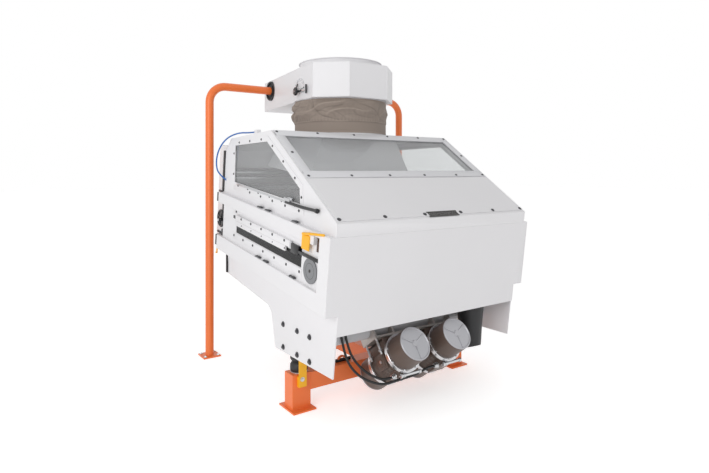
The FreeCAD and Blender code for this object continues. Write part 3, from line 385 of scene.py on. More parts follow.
def plate(work, outline, thick, edge=0.0, place=Matrix()):
    """A plate: an outline in the local XY plane, given its thickness along Z."""
    shape = bmesh.new()
    face = shape.faces.new([shape.verts.new((x, y, 0.0)) for x, y in outline])
    thicken(shape, [face], thick)
    if edge:
        rounded(shape, edge, 1)
    put(work, shape, place)


def turned(work, profile, place=Matrix(), steps=48, closed=False):
    """A round solid: (radius, height) points spun about the local Z axis."""
    shape = bmesh.new()
    points = [shape.verts.new((radius, 0.0, height)) for radius, height in profile]
    pairs = list(zip(points, points[1:])) + ([(points[-1], points[0])] if closed else [])
    edges = [shape.edges.new(pair) for pair in pairs]
    bmesh.ops.spin(shape, geom=points + edges, cent=(0, 0, 0), axis=(0, 0, 1), dvec=(0, 0, 0),
                   angle=math.tau, steps=steps, use_merge=True)
    bmesh.ops.remove_doubles(shape, verts=shape.verts, dist=0.00001)
    put(work, shape, place)


def aim(point, direction):
    """A place at a point with its Z axis along a direction."""
    return at(*point) @ Vector(direction).to_track_quat("Z", "Y").to_matrix().to_4x4()


def shaft(work, start, end, radius, edge=0.001, steps=24, place=Matrix()):
    """A round bar between two points, its ends slightly chamfered."""
    line = Vector(end) - Vector(start)
    length = line.length
    profile = [(0, 0), (radius - edge, 0), (radius, edge), (radius, length - edge),
               (radius - edge, length), (0, length)]
    turned(work, profile, place @ aim(start, line), steps)


def screw(work, point, direction, radius, height, sides=12, washer=1.45):
    """A screw head on its washer, standing out along a direction."""
    spot = aim(point, direction)
    rim = radius * washer
    for low, tall, wide, narrow, count in (
            (0.0, height * 0.3, rim, rim, 16),
            (height * 0.3, height * 0.7, radius, radius * 0.78, sides)):
        shape = bmesh.new()
        bmesh.ops.create_cone(shape, cap_ends=True, cap_tris=False, segments=count, radius1=wide,
                              radius2=narrow, depth=tall)
        put(work, shape, spot @ at(0.0, 0.0, low + tall / 2))


def bent_strip(path, thick):
    """Outline of a strip of even thickness along a flat path."""
    sides = ([], [])
    for index, point in enumerate(path):
        before = Vector(path[max(index - 1, 0)])
        after = Vector(path[min(index + 1, len(path) - 1)])
        across = (after - before).normalized().orthogonal() * (thick / 2)
        sides[0].append(tuple(Vector(point) + across))
        sides[1].append(tuple(Vector(point) - across))
    return sides[0] + sides[1][::-1]


def arc(centre, radius, start, end, count):
    """Points of an arc, with its angles in degrees."""
    turn = [math.radians(start + (end - start) * i / count) for i in range(count + 1)]
    return [(centre[0] + radius * math.cos(a), centre[1] + radius * math.sin(a)) for a in turn]


def finished(work, name, material, place=MACHINE, body="machine", smooth=38.0):
    """Close a mesh in progress as a piece in its true place, riding on a body."""
    bmesh.ops.transform(work, matrix=place, verts=work.verts)
    if place.determinant() < 0:
        bmesh.ops.reverse_faces(work, faces=work.faces)
    data = bpy.data.meshes.new(name)
    work.to_mesh(data)
    work.free()
    data.polygons.foreach_set("use_smooth", [True] * len(data.polygons))
    data.set_sharp_from_angle(angle=math.radians(smooth))
    data.materials.append(material)
    piece = new_object(name, data)
    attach(piece, body)
    return piece


def made(name, material, steps, place=MACHINE, body="machine", node=None):
    """A piece made in steps, each a tool with its values; it may stand for a plain node."""
    work = bmesh.new()
    for tool, *values in steps:
        tool(work, *values)
    piece = finished(work, name, material, place, body)
    if node:
        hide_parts(node)


def pair(name, material, steps, place=LEAN, node=None):
    """The same piece on the left side and, mirrored, on the right one."""
    for side, side_place in SIDES:
        made(f"{name}_{side}", material, steps, side_place @ place,
             node=node and f"{node}_{side}")


def tube(low_radius, high_radius, low, high, sides, cuts):
    """An open upright tube with many level cuts."""
    shape = bmesh.new()
    bmesh.ops.create_cone(shape, cap_ends=False, cap_tris=False, segments=sides,
                          radius1=low_radius, radius2=high_radius, depth=high - low)
    upright = [edge for edge in shape.edges
               if abs(edge.verts[0].co.z - edge.verts[1].co.z) > (high - low) / 2]
    bmesh.ops.subdivide_edges(shape, edges=upright, cuts=cuts, use_grid_fill=True)
    bmesh.ops.translate(shape, vec=(0.0, 0.0, (low + high) / 2), verts=shape.verts)
    return shape


print("mesh tools ready")

# %% [markdown]
# ## Vibrating motors
#
# Each motor shakes the body with weights that turn inside two round caps. A cap is a deep drawn
# cover with three pressed ribs and a flat boss, clamped against a flange ring by a circle of
# bolts. Everything round about the motor's axis is turned from one profile, so the steps between
# cap, ring and core stay crisp. Feet and terminal box are blocks with soft cast edges.

# %% Motor shell, faces, rings and glands
TURN = about("X", -90)
CAP_RADIUS = 0.097
RING_RADIUS = 0.1125
CAP_DEEP = 0.13
RING_DEEP = 0.02
CORE_LONG = 0.175
MOTOR_LONG = 2 * CAP_DEEP + 2 * RING_DEEP + CORE_LONG


def motor_shell(work):
    """Painted covers and core as one turned profile, with feet above and terminal box below."""
    front = CAP_DEEP
    core = CAP_DEEP + RING_DEEP
    back = core + CORE_LONG
    end = MOTOR_LONG
    profile = [(0.0, 0.004), (0.0925, 0.004), (CAP_RADIUS, 0.009), (CAP_RADIUS, 0.112),
               (0.0985, 0.115), (0.0985, front - 0.002), (0.1085, front - 0.002),
               (0.1085, core + 0.001), (0.0955, core + 0.004), (0.0915, core + 0.012)]
    for ridge in (0.052, 0.085, 0.118):
        profile += [(0.0905, core + ridge - 0.006), (0.0925, core + ridge - 0.003),
                    (0.0925, core + ridge + 0.003), (0.0905, core + ridge + 0.006)]
    profile += [(0.0915, back - 0.012), (0.0955, back - 0.004), (0.1085, back - 0.001),
                (0.1085, back + RING_DEEP + 0.002), (0.0985, back + RING_DEEP + 0.002),
                (0.0985, end - 0.115), (CAP_RADIUS, end - 0.112), (CAP_RADIUS, end - 0.009),
                (0.0925, end - 0.004), (0.0, end - 0.004)]
    turned(work, profile, TURN @ FLIP, 72)
    for x in (-0.063, 0.063):
        block(work, (x - 0.022, core + 0.006, 0.02), (x + 0.022, back - 0.006, 0.1155), 0.006)
    block(work, (-0.085, core + 0.004, 0.098), (0.085, back - 0.004, 0.116), 0.004)
    block(work, (-0.058, core + 0.012, -0.106), (0.058, back - 0.012, -0.03), 0.008)
    block(work, (-0.06, core + 0.008, -0.112), (0.06, back - 0.008, -0.102), 0.003)
    block(work, (-0.099, core + 0.035, -0.045), (-0.06, core + 0.125, 0.045), 0.007)
    block(work, (-0.1025, core + 0.045, -0.034), (-0.095, core + 0.115, 0.034), 0.003)


def motor_faces(work):
    """The two flat end covers with rim, three ribs and an eight-sided boss."""
    for cover, ahead in ((0.0, 1.0), (MOTOR_LONG, -1.0)):
        place = at(0.0, cover, 0.0) @ about("X", 90.0 * ahead)
        turned(work, [(0.0, -0.005), (0.095, -0.005), (0.0968, -0.003), (0.0968, 0.0005),
                      (0.0945, 0.0028), (0.089, 0.0028), (0.0865, -0.0005), (0.0, -0.0005)],
               place, 72)
        for spoke in (-90, 28, 148):
            rib = place @ about("Z", spoke)
            block(work, (0.016, -0.0042, -0.001), (0.0875, 0.0042, 0.0036), 0.0018, rib)
        boss = bmesh.new()
        bmesh.ops.create_cone(boss, cap_ends=True, cap_tris=False, segments=8, radius1=0.021,
                              radius2=0.0175, depth=0.006)
        put(work, boss, place @ at(0.0, 0.0, 0.0015))


def motor_rings(work):
    """Machined edges of the flange rings, with a circle of bolts on each outer side."""
    for start, ahead in ((CAP_DEEP, -1.0), (CAP_DEEP + RING_DEEP + CORE_LONG, 1.0)):
        end = start + RING_DEEP
        turned(work, [(0.0988, start - 0.003), (0.1105, start - 0.003),
                      (RING_RADIUS, start - 0.001), (RING_RADIUS, end + 0.001),
                      (0.1105, end + 0.003), (0.0988, end + 0.003)],
               TURN @ FLIP, 72, closed=True)
        face = start - 0.003 if ahead < 0 else end + 0.003
        for number in range(8):
            angle = math.radians(22.5 + 45 * number)
            point = (0.1045 * math.cos(angle), face, 0.1045 * math.sin(angle))
            screw(work, point, (0.0, ahead, 0.0), 0.0055, 0.006, 6, washer=1.25)


def motor_gland(work):
    """Cable gland with its nut, the clamp rod beside it, and the cover screws."""
    exit_y = CAP_DEEP + RING_DEEP + 0.06
    for x0, x1, radius, sides in ((-0.084, -0.072, 0.0135, 24), (-0.073, -0.062, 0.0165, 6),
                                  (-0.062, -0.057, 0.0185, 24)):
        shaft(work, (x0, exit_y, -0.1), (x1, exit_y, -0.1), radius, 0.0015, steps=sides)
    rod_y = exit_y - 0.048
    shaft(work, (-0.05, rod_y, -0.116), (0.088, rod_y, -0.116), 0.0075, 0.001)
    for x0, x1, radius in ((-0.058, -0.046, 0.0135), (-0.036, -0.024, 0.0115),
                           (0.078, 0.092, 0.0125)):
        shaft(work, (x0, rod_y, -0.116), (x1, rod_y, -0.116), radius, 0.001, steps=6)
    for x in (-0.05, 0.05):
        for y in (exit_y - 0.035, exit_y + 0.095):
            screw(work, (x, y, -0.112), (0.0, 0.0, -1.0), 0.0045, 0.005, 12)
        for y in (exit_y - 0.02, exit_y + 0.08):
            screw(work, (x * 1.5, y, 0.128), (0.0, 0.0, 1.0), 0.012, 0.012, 6)
    screw(work, (-0.1025, exit_y + 0.02, 0.0), (-1.0, 0.0, 0.0), 0.007, 0.006, 6)
    for x in (-0.109, 0.109):
        for y in (exit_y - 0.03, exit_y + 0.085):
            shaft(work, (x, y, 0.03), (x, y, 0.14), 0.0075, 0.001)
            shaft(work, (x, y, 0.046), (x, y, 0.058), 0.0135, 0.001, steps=6)
            shaft(work, (x, y, 0.1282), (x, y, 0.136), 0.0135, 0.001, steps=6)


for side, x in (("left", -0.163), ("right", 0.163)):
    place = motor_place(x)
    parts = [("shell", motor_shell, MOTOR), ("faces", motor_faces, CAST),
             ("rings", motor_rings, STEEL), ("gland", motor_gland, ZINC)]
    for part, make, material in parts:
        made(f"motor_{part}_{side}", material, [(make,)], place,
             node=f"motor_{side}" if part == "shell" else None)
print("two motors made, each", MOTOR_LONG, "m long")

# %% [markdown]
# ## The cloth sleeve
#
# The sleeve is a tube of coated woven cloth that joins the shaking hood to the still air box, so
# it is cut longer than the gap and hangs in soft diagonal folds above a flat sewn cuff. A cone
# ring with many cuts gives the tube. Folds are then drawn as long slanted ridges, which is
# quicker than a simulation and gives the same folds on every run.

# %% Sleeve
def woven_cloth(name, code, thread):
    """Coated cloth: a plain weave read from the sleeve's own flat map, painted shade in creases and
    a painted highlight on fold tops.
    """
    material = surface(name, code, 0.7, tint=0.08)
    tree = material.node_tree
    flat = shader(tree, "UVMap", uv_map="cloth")
    weave(tree, flat.outputs["UV"], thread, "ADD", 0.35, 0.0003)
    # Painted shade and highlight: pointiness darkens the creases to 0.62 of the colour and lightens
    # the fold tops up to 1.2 times.
    edges = shader(tree, "NewGeometry").outputs["Pointiness"]
    fold_shade_and_highlight = shader(tree, "MapRange", [("Value", edges)],
                    From_Min=0.46, From_Max=0.54, To_Min=0.62, To_Max=1.2)
    base = tree.nodes["Principled BSDF"].inputs["Base Color"]
    painted_fold_shade = shader(tree, "VectorMath", [(0, base.links[0].from_socket), (1, fold_shade_and_highlight.outputs[0])],
                   operation="MULTIPLY")
    tree.links.new(painted_fold_shade.outputs[0], base)
    return material


CLOTH = woven_cloth("coated woven cloth", "93867C", 0.0012)
SLEEVE_LOW = 1.637
SLEEVE_HIGH = 1.866
CUFF_HIGH = 1.716
SLEEVE_RADIUS = 0.3275
SPIGOT_CLEAR = 0.3265
BULGE_SIDE = 2.5
BULGE_LIMIT = 0.0265


def ridge(value):
    """A rounded ridge that repeats once per unit, from 0 in the valley to 1 on top."""
    return 0.5 + 0.5 * math.cos(math.tau * value)


def fold_out(turn, height):
    """How far the cloth stands out or sinks in at a turn and a height above the cuff."""
    share = (height - CUFF_HIGH) / (SLEEVE_HIGH - CUFF_HIGH)
    if share <= 0:
        return 0.0
    swell = math.sin(math.pi * min(1.0, share * 1.02)) ** 0.6
    wander = 0.5 * noise.noise(Vector((math.cos(turn) * 1.7, math.sin(turn) * 1.7, share * 1.3)))
    right = abs(((turn * 6 / math.tau + share * 0.9 + wander) % 1.0) - 0.5) * 2
    left = abs(((turn * 7 / math.tau - share * 1.3 + 1.4 * wander + 0.2) % 1.0) - 0.5) * 2
    patch = noise.noise(Vector((math.cos(turn) * 3.3 + 5.0, math.sin(turn) * 3.3, share * 2.2)))
    crease = (1.0 - min(1.0, abs(patch) * 2.5)) ** 2
    small = noise.noise(Vector((math.cos(turn) * 14.0, math.sin(turn) * 14.0, share * 7.0)))
    pucker = ridge(turn * 90 / math.tau) * math.exp(-share * 9.0)
    bulge = 0.68 + 0.32 * math.cos(turn - BULGE_SIDE)
    body = 0.028 * (1.0 - right ** 1.5) * (0.4 + 0.6 * (1.0 - left)) + 0.01 * (1.0 - left) ** 2
    out = swell * bulge * (body - 0.006 * crease + 0.002 * small)
    return min(BULGE_LIMIT, out) + 0.0018 * pucker


def sleeve_radius(turn, height):
    """The cloth with its seam and hem, kept clear of the steel rings at both ends."""
    seam = 0.0022 * math.exp(-((height - CUFF_HIGH) / 0.004) ** 2)
    hem = 0.0014 * math.exp(-((height - SLEEVE_LOW - 0.008) / 0.004) ** 2)
    clear = 0.0 if 1.69 < height < 1.815 else SPIGOT_CLEAR
    return max(clear, SLEEVE_RADIUS + seam + hem + fold_out(turn, height))


shape = tube(SLEEVE_RADIUS, SLEEVE_RADIUS, SLEEVE_LOW, SLEEVE_HIGH, 360, 70)
cloth = shape.loops.layers.uv.new("cloth")
for face in shape.faces:
    middle = math.atan2(face.calc_center_median().y, face.calc_center_median().x)
    for loop in face.loops:
        turn = math.atan2(loop.vert.co.y, loop.vert.co.x)
        turn += math.tau * round((middle - turn) / math.tau)
        loop[cloth].uv = (turn * SLEEVE_RADIUS, loop.vert.co.z)
for vert in shape.verts:
    turn = math.atan2(vert.co.y, vert.co.x)
    radius = sleeve_radius(turn, vert.co.z)
    vert.co.x = radius * math.cos(turn)
    vert.co.y = radius * math.sin(turn)
bmesh.ops.recalc_face_normals(shape, faces=shape.faces)
sleeve_area = sum(face.calc_area() for face in shape.faces)
sleeve = finished(shape, "cloth_sleeve", CLOTH, MACHINE @ at(0.0, 0.49, 0.0), smooth=180)
thickness = sleeve.modifiers.new("cloth thickness", "SOLIDIFY")
thickness.thickness = 0.0012
thickness.offset = 1.0
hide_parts("air_sleeve")

# %% [markdown]
# ## Fittings on the air box
#
# The damper inside the box is set by a lever in front of a screwed-on scale arc and held by a
# star knob. The knob is turned from a profile and its grip is cut by pushing every second column
# of points inwards. The lever moves, so its pieces ride on the lever's own body.

# %% Damper lever, knob and scale
OUT = (-1.0, 0.0, 0.0)
KNOB_COLUMNS = 40
KNOB_GRIP = 0.90
made("damper_lever_arm", ZINC,
     [(shaft, (-0.044, 0.0, 0.0), (0.012, 0.0, 0.0), 0.006),
      (block, (-0.016, -0.15, -0.009), (-0.011, 0.018, 0.009), 0.0015)],
     DAMPER, "damper_lever", node="damper_lever")
made("damper_lever_grip", BLACK,
     [(shaft, (-0.0135, -0.15, -0.031), (-0.0135, -0.15, 0.031), 0.0062, 0.002)],
     DAMPER, "damper_lever")

work = bmesh.new()
turned(work, [(0.0, 0.0), (0.012, 0.0), (0.012, 0.005), (0.026, 0.007), (0.029, 0.01),
              (0.029, 0.02), (0.026, 0.024), (0.012, 0.025), (0.01, 0.0235), (0.0, 0.0235)],
       aim((-0.0165, 0.0, 0.0), OUT), KNOB_COLUMNS)
for vert in work.verts:
    spot = Vector((vert.co.y, vert.co.z))
    column = round(math.atan2(spot.y, spot.x) / math.tau * KNOB_COLUMNS)
    if spot.length > 0.02 and column % 4 >= 2:
        vert.co.y *= KNOB_GRIP
        vert.co.z *= KNOB_GRIP
finished(work, "damper_star_knob", BLACK, DAMPER, "damper_lever")

SCALE_FACE = -0.004
SCALE_RADIUS = 0.086
scale = arc((0.0, 0.0), 0.095, 5, 175, 28) + arc((0.0, 0.0), 0.077, 175, 5, 28)
steps = [(plate, scale, 0.004, 0.0, at(SCALE_FACE, 0.0, 0.0) @ about("Z", 90) @ about("X", 90)),
         (block, (SCALE_FACE, 0.072, -0.012), (-0.0005, 0.1, 0.012)),
         (block, (SCALE_FACE, -0.1, -0.012), (-0.0005, -0.072, 0.012))]
for angle in range(15, 180, 25):
    turn = math.radians(angle)
    spot = (SCALE_FACE, SCALE_RADIUS * math.cos(turn), SCALE_RADIUS * math.sin(turn))
    steps.append((screw, spot, OUT, 0.0045, 0.004))
made("damper_scale_arc", STEEL, steps, DAMPER, node="damper_quadrant")
made("damper_stay_rods", DARK,
     [(shaft, (-0.01, 0.06, 0.004), (-0.01, 0.012, 0.055), 0.004),
      (shaft, (-0.01, -0.06, 0.012), (-0.01, -0.105, 0.012), 0.004)], DAMPER)
print("damper fittings made")

# %% [markdown]
# The air box is folded from sheet: a narrow welded seam runs down each corner. The seams are
# thin round strips laid on the corners of the box plan.

# %% Seams of the air box
BOX_CORNERS = [(-0.157, 0.144), (0.157, 0.144), (0.338, 0.314), (0.2, 1.32), (-0.2, 1.32),
               (-0.338, 0.314)]
made("air_box_corner_seams", WHITE,
     [(shaft, (x, y, 1.8705), (x, y, 2.1045), 0.0018, 0.0005, 12) for x, y in BOX_CORNERS])
print(len(BOX_CORNERS), "corner seams laid")

# %% [markdown]
# ## Window frames and covers of the hood
#
# Each window is clamped by a frame of flat bars screwed through the hood. A frame is made from
# the window's outline: a face is inset to leave a ring, the middle is taken out and the ring is
# given its thickness, so its corners are mitred by themselves.

# %% Side window frames
UP = (0.0, 0.0, 1.0)
SIDE_WINDOW = [(1.307, 0.755), (0.82, 0.821), (0.384, 0.597), (0.367, 0.506), (1.288, 0.501)]
UPRIGHT = Matrix(((0.0, 0.0, -1.0, 0.0), (1.0, 0.0, 0.0, 0.0),
                  (0.0, 1.0, 0.0, 0.0), (0.0, 0.0, 0.0, 1.0)))
ON_HOOD = LEAN @ at(-0.72, 0.0, 0.0) @ UPRIGHT


def ring_frame(work, outline, wide, thick):
    """A flat frame inside an outline."""
    shape = bmesh.new()
    face = shape.faces.new([shape.verts.new((x, y, 0.0)) for x, y in outline])
    shape.normal_update()
    bmesh.ops.inset_region(shape, faces=[face], thickness=wide, use_even_offset=True,
                           use_boundary=True)
    bmesh.ops.delete(shape, geom=[face], context="FACES")
    thicken(shape, shape.faces[:], thick)
    put(work, shape, Matrix())


def widened(outline, amount):
    """The outline with every side moved outwards by an even amount."""
    moved = []
    for index, point in enumerate(outline):
        here = Vector(point)
        into = (here - Vector(outline[index - 1])).normalized()
        onward = (Vector(outline[(index + 1) % len(outline)]) - here).normalized()
        out_in = Vector((into.y, -into.x))
        out_on = Vector((onward.y, -onward.x))
        middle = (out_in + out_on).normalized()
        moved.append(tuple(here + middle * (amount / middle.dot(out_in))))
    return moved


def along_outline(outline, gap):
    """Points spread along each side of an outline, about a gap apart, corners left out."""
    spots = []
    for index, point in enumerate(outline):
        start = Vector(point)
        side = Vector(outline[(index + 1) % len(outline)]) - start
        count = max(1, round(side.length / gap))
        spots += [tuple(start + side * ((i + 0.5) / count)) for i in range(count)]
    return spots


pair("side_window_frame", WHITE,
     [(ring_frame, widened(SIDE_WINDOW, 0.03), 0.034, 0.003)], ON_HOOD)
pair("side_window_screws", SCREW,
     [(screw, (y, z, 0.003), UP, 0.0052, 0.004)
      for y, z in along_outline(widened(SIDE_WINDOW, 0.013), 0.165)], ON_HOOD)
print("side window frames made")

# %% Front window frame and front cover
WINDOW_HALF = 0.66
FRAME_HALF = 0.708
WINDOW_RISE = (0.447, 0.83)
FRAME_RISE = (0.39, 0.884)
LAP = 0.006
steps = [(block, (-FRAME_HALF, FRAME_RISE[0], 0.0005), (FRAME_HALF, WINDOW_RISE[0] + LAP, 0.005)),
         (block, (-FRAME_HALF, WINDOW_RISE[1] - LAP, 0.0005), (FRAME_HALF, FRAME_RISE[1], 0.005))]
for low, high in ((-FRAME_HALF, -WINDOW_HALF + LAP), (WINDOW_HALF - LAP, FRAME_HALF)):
    steps.append((block, (low, FRAME_RISE[0] + 0.04, 0.0005), (high, FRAME_RISE[1] - 0.02, 0.0048)))
made("front_window_frame", FRAME_PAINT, steps, SLOPE)

steps = [(screw, (x, rise, 0.005), UP, 0.006, 0.0045)
         for rise in (0.405, 0.866) for x in (-0.69, -0.405, -0.125, 0.155, 0.435, 0.69)]
steps += [(screw, (x, 0.64, 0.005), UP, 0.006, 0.0045) for x in (-0.685, 0.685)]
steps += [(screw, (x, 0.03, 0.004), UP, 0.008, 0.006, 6)
          for x in (-0.695, -0.405, -0.124, 0.157, 0.436, 0.695)]
made("front_cover_screws", SCREW, steps, SLOPE)

COVER_HALF = 0.706
CORNER = 0.03
cover = ([(-COVER_HALF, 0.016), (COVER_HALF, 0.016)]
         + arc((COVER_HALF - CORNER, 0.35), CORNER, 0, 90, 8)
         + arc((-COVER_HALF + CORNER, 0.35), CORNER, 90, 180, 8))
made("front_slope_cover", WHITE, [(plate, cover, 0.0035, 0.0008, at(0.0, 0.0, 0.0004))], SLOPE)

SLATS = 28
SLAT_STEP = 0.0081
steps = [(block, (-0.104, 0.004, 0.0045), (0.128, 0.012, 0.0065), 0.0008),
         (block, (-0.104, 0.04, 0.0045), (0.128, 0.048, 0.0065), 0.0008)]
for number in range(SLATS):
    x = -0.098 + SLAT_STEP * number
    steps.append((block, (x, 0.01, 0.0038), (x + 0.0045, 0.042, 0.006), 0.0005))
made("front_vent_louvre", DARK, steps, SLOPE)
print("front cover, window frame and louvre made")

# %% [markdown]
# ## Rails, rods and screws on the sides
#
# Two sliding shutters are worked by black rods. Each rod runs in a white rail that ends in a
# bright block. The rails are blocks laid on each other, as folded strips are on the real side.

# %% Shutter rails and rods
HOOD_FACE = -0.7202
WEB_FACE = -0.7352
pair("slot_rails", WHITE,
     [(block, (-0.753, 0.413, 0.262), (WEB_FACE, 1.172, 0.3), 0.002),
      (block, (-0.7495, 0.47, 0.228), (WEB_FACE, 1.18, 0.26), 0.002),
      (block, (-0.7378, 0.3, 0.3), (WEB_FACE, 1.235, 0.334), 0.0008),
      (block, (-0.7378, 0.29, 0.128), (WEB_FACE, 1.235, 0.172), 0.0008)],
     node="pull_rod")
pair("hood_strip", WHITE,
     [(block, (-0.7232, 0.33, 0.453), (HOOD_FACE, 1.3, 0.488), 0.0008)])
pair("rail_end_blocks", ZINC,
     [(block, (-0.748, 0.4, 0.255), (-0.737, 0.44, 0.298), 0.002),
      (block, (-0.731, 0.52, 0.492), (HOOD_FACE, 1.233, 0.502), 0.0015),
      (block, (-0.74, 0.468, 0.49), (HOOD_FACE, 0.536, 0.524), 0.003),
      (block, (-0.7345, 0.452, 0.514), (HOOD_FACE, 0.5, 0.53), 0.003)])
pair("shutter_rods", BLACK,
     [(block, (-0.75, 0.318, 0.24), (-0.7372, 0.402, 0.29), 0.003),
      (block, (-0.749, 0.106, 0.251), (-0.7365, 0.322, 0.268), 0.002),
      (shaft, (-0.735, 0.515, 0.499), (-0.736, 0.33, 0.501), 0.0085, 0.002),
      (shaft, (-0.736, 0.334, 0.501), (-0.738, 0.17, 0.51), 0.0085, 0.002),
      (shaft, (-0.738, 0.178, 0.5095), (-0.7382, 0.16, 0.5105), 0.0125, 0.002),
      (block, (-0.7405, 1.176, 0.266), (WEB_FACE, 1.236, 0.286), 0.002)])
print("rails and rods made on both sides")

# %% Small screws of the sides
SCREW_STEP = 0.1505
steps = []
for number in range(7):
    along = 0.312 + SCREW_STEP * number
    steps.append((screw, (-0.7378, along, 0.152), OUT, 0.0058, 0.004))
    if number in (0, 6):
        steps.append((screw, (-0.7378, along - 0.02, 0.316), OUT, 0.0058, 0.004))
    else:
        above = along - 0.095 + 0.012 * number
        steps += [(screw, (-0.753, along + 0.01, 0.289), OUT, 0.0058, 0.004),
                  (screw, (-0.7495, along + 0.01, 0.244), OUT, 0.003, 0.003),
                  (screw, (-0.7232, above, 0.472), OUT, 0.0056, 0.004)]
pair("side_screws", SCREW, steps)
pair("side_plate_bolts", SCREW,
     [(screw, (-0.68, along, height), OUT, 0.0115, 0.011, 6)
      for height in (0.476, 0.342) for along in (0.074, -0.094, -0.232)], Matrix())
print("screws and bolts set on both sides")

# %% [markdown]
# ## Toggle clips, lifting hooks and discs
#
# Spring clips pull the hood down on the side frame and the frame on its lower flange. Each is a
# base plate, a bent lever and a wire hook, 70 mm long, drawn along Y on a face that looks
# towards -X. The lifting hook is a flat bar bent over the band, a strip along a path with an arc.

# %% Clips
def clip_base(work, place):
    block(work, (-0.003, -0.016, -0.009), (0.0, 0.05, 0.009), 0.001, place)
    block(work, (-0.01, 0.038, -0.008), (-0.003, 0.046, 0.008), 0.002, place)


def clip_lever(work, place):
    block(work, (-0.013, -0.02, -0.0065), (-0.003, 0.012, 0.0065), 0.003, place)
    for z in (-0.005, 0.005):
        shaft(work, (-0.009, 0.008, z), (-0.006, 0.044, z), 0.002, 0.0005, 10, place)


UPWARD = about("Y", 90)
CLIPS = [at(-0.738, along, 0.4062) @ UPWARD for along in (0.825, 0.715, 0.376)]
CLIPS += [at(-0.7445, along, 0.1002) @ UPWARD for along in (0.8, 0.694, 0.361)]
CLIPS += [at(-0.7051, 1.545, high) for high in (0.4, 0.102)]
pair("clip_bases", ZINC, [(clip_base, place) for place in CLIPS])
pair("clip_levers", SCREW, [(clip_lever, place) for place in CLIPS])
print(2 * len(CLIPS), "clips made")

# %% Hooks and discs
OUTWARD = about("Y", -90)
ACROSS = Matrix(((1.0, 0.0, 0.0, 0.0), (0.0, 0.0, 1.0, 0.0),
                 (0.0, 1.0, 0.0, 0.0), (0.0, 0.0, 0.0, 1.0)))
hook = [(-0.758, 0.295), (-0.758, 0.362)] + arc((-0.742, 0.362), 0.016, 180, 100, 8)
pair("lifting_hook_bar", YELLOW,
     [(plate, bent_strip(hook, 0.006), 0.076, 0.0008, at(0.0, 0.19, 0.0) @ ACROSS),
      (shaft, (-0.76, 0.262, 0.374), (-0.7625, 0.18, 0.39), 0.0072, 0.002),
      (shaft, (-0.7625, 0.186, 0.389), (-0.76, 0.05, 0.411), 0.0066, 0.002)],
     node="lifting_hook")
# A thin dark brown plate where the hook's hole is: painted shade for the hollow behind it.
pair("hook_pocket", POCKET_SHADE,
     [(block, (-0.7306, 0.0985, 0.2985), (-0.728, 0.158, 0.3855), 0.0008)])
DISC_Y = 0.196
DISC_Z = 0.187
pair("indicator_disc_face", DISC,
     [(turned, [(0.0, 0.0), (0.0665, 0.0), (0.0675, 0.001), (0.0675, 0.005),
                (0.0665, 0.006), (0.0625, 0.006), (0.0615, 0.0052), (0.0, 0.0052)],
       at(-0.7375, DISC_Y, DISC_Z) @ OUTWARD, 64)], node="indicator_disc")
pair("indicator_disc_marks", DARK,
     [(screw, (-0.7427, DISC_Y, DISC_Z), OUT, 0.006, 0.004),
      (turned, [(0.0405, 0.0), (0.0415, 0.0006), (0.0425, 0.0)],
       at(-0.7427, DISC_Y, DISC_Z) @ OUTWARD, 64)])
print("hooks and discs made")

# %% [markdown]
# ## Hand wheel
#
# The black hand wheel on the rear housing sets the air flap. Its rim is a ring turned from a
# round section, four flat spokes join it to the hub, and the grip stands off near the rim.

# %% Hand wheel
WHEEL = BODY @ at(-0.722, 1.4975, 0.213)
GRIP_Y = -0.047
steps = [(turned, arc((0.056, 0.001), 0.008, 0, 330, 11), OUTWARD, 64, True),
         (turned, [(0.0, -0.018), (0.016, -0.018), (0.018, -0.004), (0.018, 0.006),
                   (0.015, 0.009), (0.0, 0.009)], OUTWARD, 32),
         (turned, [(0.0, -0.003), (0.052, -0.003), (0.053, 0.0), (0.052, 0.002), (0.0, 0.002)],
          OUTWARD)]
for number in range(4):
    spoke = about("X", 90 * number + 20)
    steps.append((block, (-0.006, -0.007, 0.012), (-0.001, 0.007, 0.052), 0.002, spoke))
steps += [(turned, [(0.0, 0.0), (0.008, 0.0), (0.009, 0.004), (0.0105, 0.016), (0.0115, 0.032),
                    (0.009, 0.041), (0.0, 0.042)], at(0.0, GRIP_Y, 0.0) @ OUTWARD, 24),
          (shaft, (0.0, 0.0, 0.0), (0.045, 0.0, 0.0), 0.008)]
made("hand_wheel_rim_and_hub", BLACK, steps, WHEEL, "hand_wheel", "hand_wheel")
made("hand_wheel_grip_cap", WHITE,
     [(turned, [(0.0, 0.0), (0.0095, 0.0), (0.0095, 0.0008), (0.0085, 0.0015), (0.0, 0.0015)],
       at(-0.0415, GRIP_Y, 0.0) @ OUTWARD, 24)], WHEEL, "hand_wheel")
print("hand wheel made")

# %% [markdown]
# ## Buffers and sock
#
# A rubber buffer is moulded with a deep groove between two bulges and has a steel plate bonded
# to each end. The sock below the outlet is a soft rubber tube, held by a clamp band under the pan,
# and its free end is cut in a shallow arch.

# %% Rubber buffers
BUFFERS = (("front_left", -0.617, 0.0, 0.21), ("front_right", 0.617, 0.0, 0.21),
           ("rear", 0.0, 0.82, 0.51))
BULGES = [(0.0, 0.005), (0.047, 0.005), (0.051, 0.01), (0.0525, 0.026), (0.051, 0.044),
          (0.045, 0.053), (0.0385, 0.06), (0.045, 0.067), (0.051, 0.076), (0.0525, 0.094),
          (0.051, 0.11), (0.047, 0.115), (0.0, 0.115)]
PLATE = [(0.0, 0.0), (0.051, 0.0), (0.052, 0.001), (0.052, 0.004), (0.051, 0.005), (0.0, 0.005)]
for name, x, y, z in BUFFERS:
    spot = MACHINE @ at(x, y, z)
    made(f"buffer_rubber_{name}", RUBBER, [(turned, BULGES)], spot, node=f"buffer_{name}")
    made(f"buffer_plates_{name}", ZINC,
         [(turned, PLATE, at(0.0, 0.0, low)) for low in (0.0002, 0.1148)], spot)
print(len(BUFFERS), "buffers made")

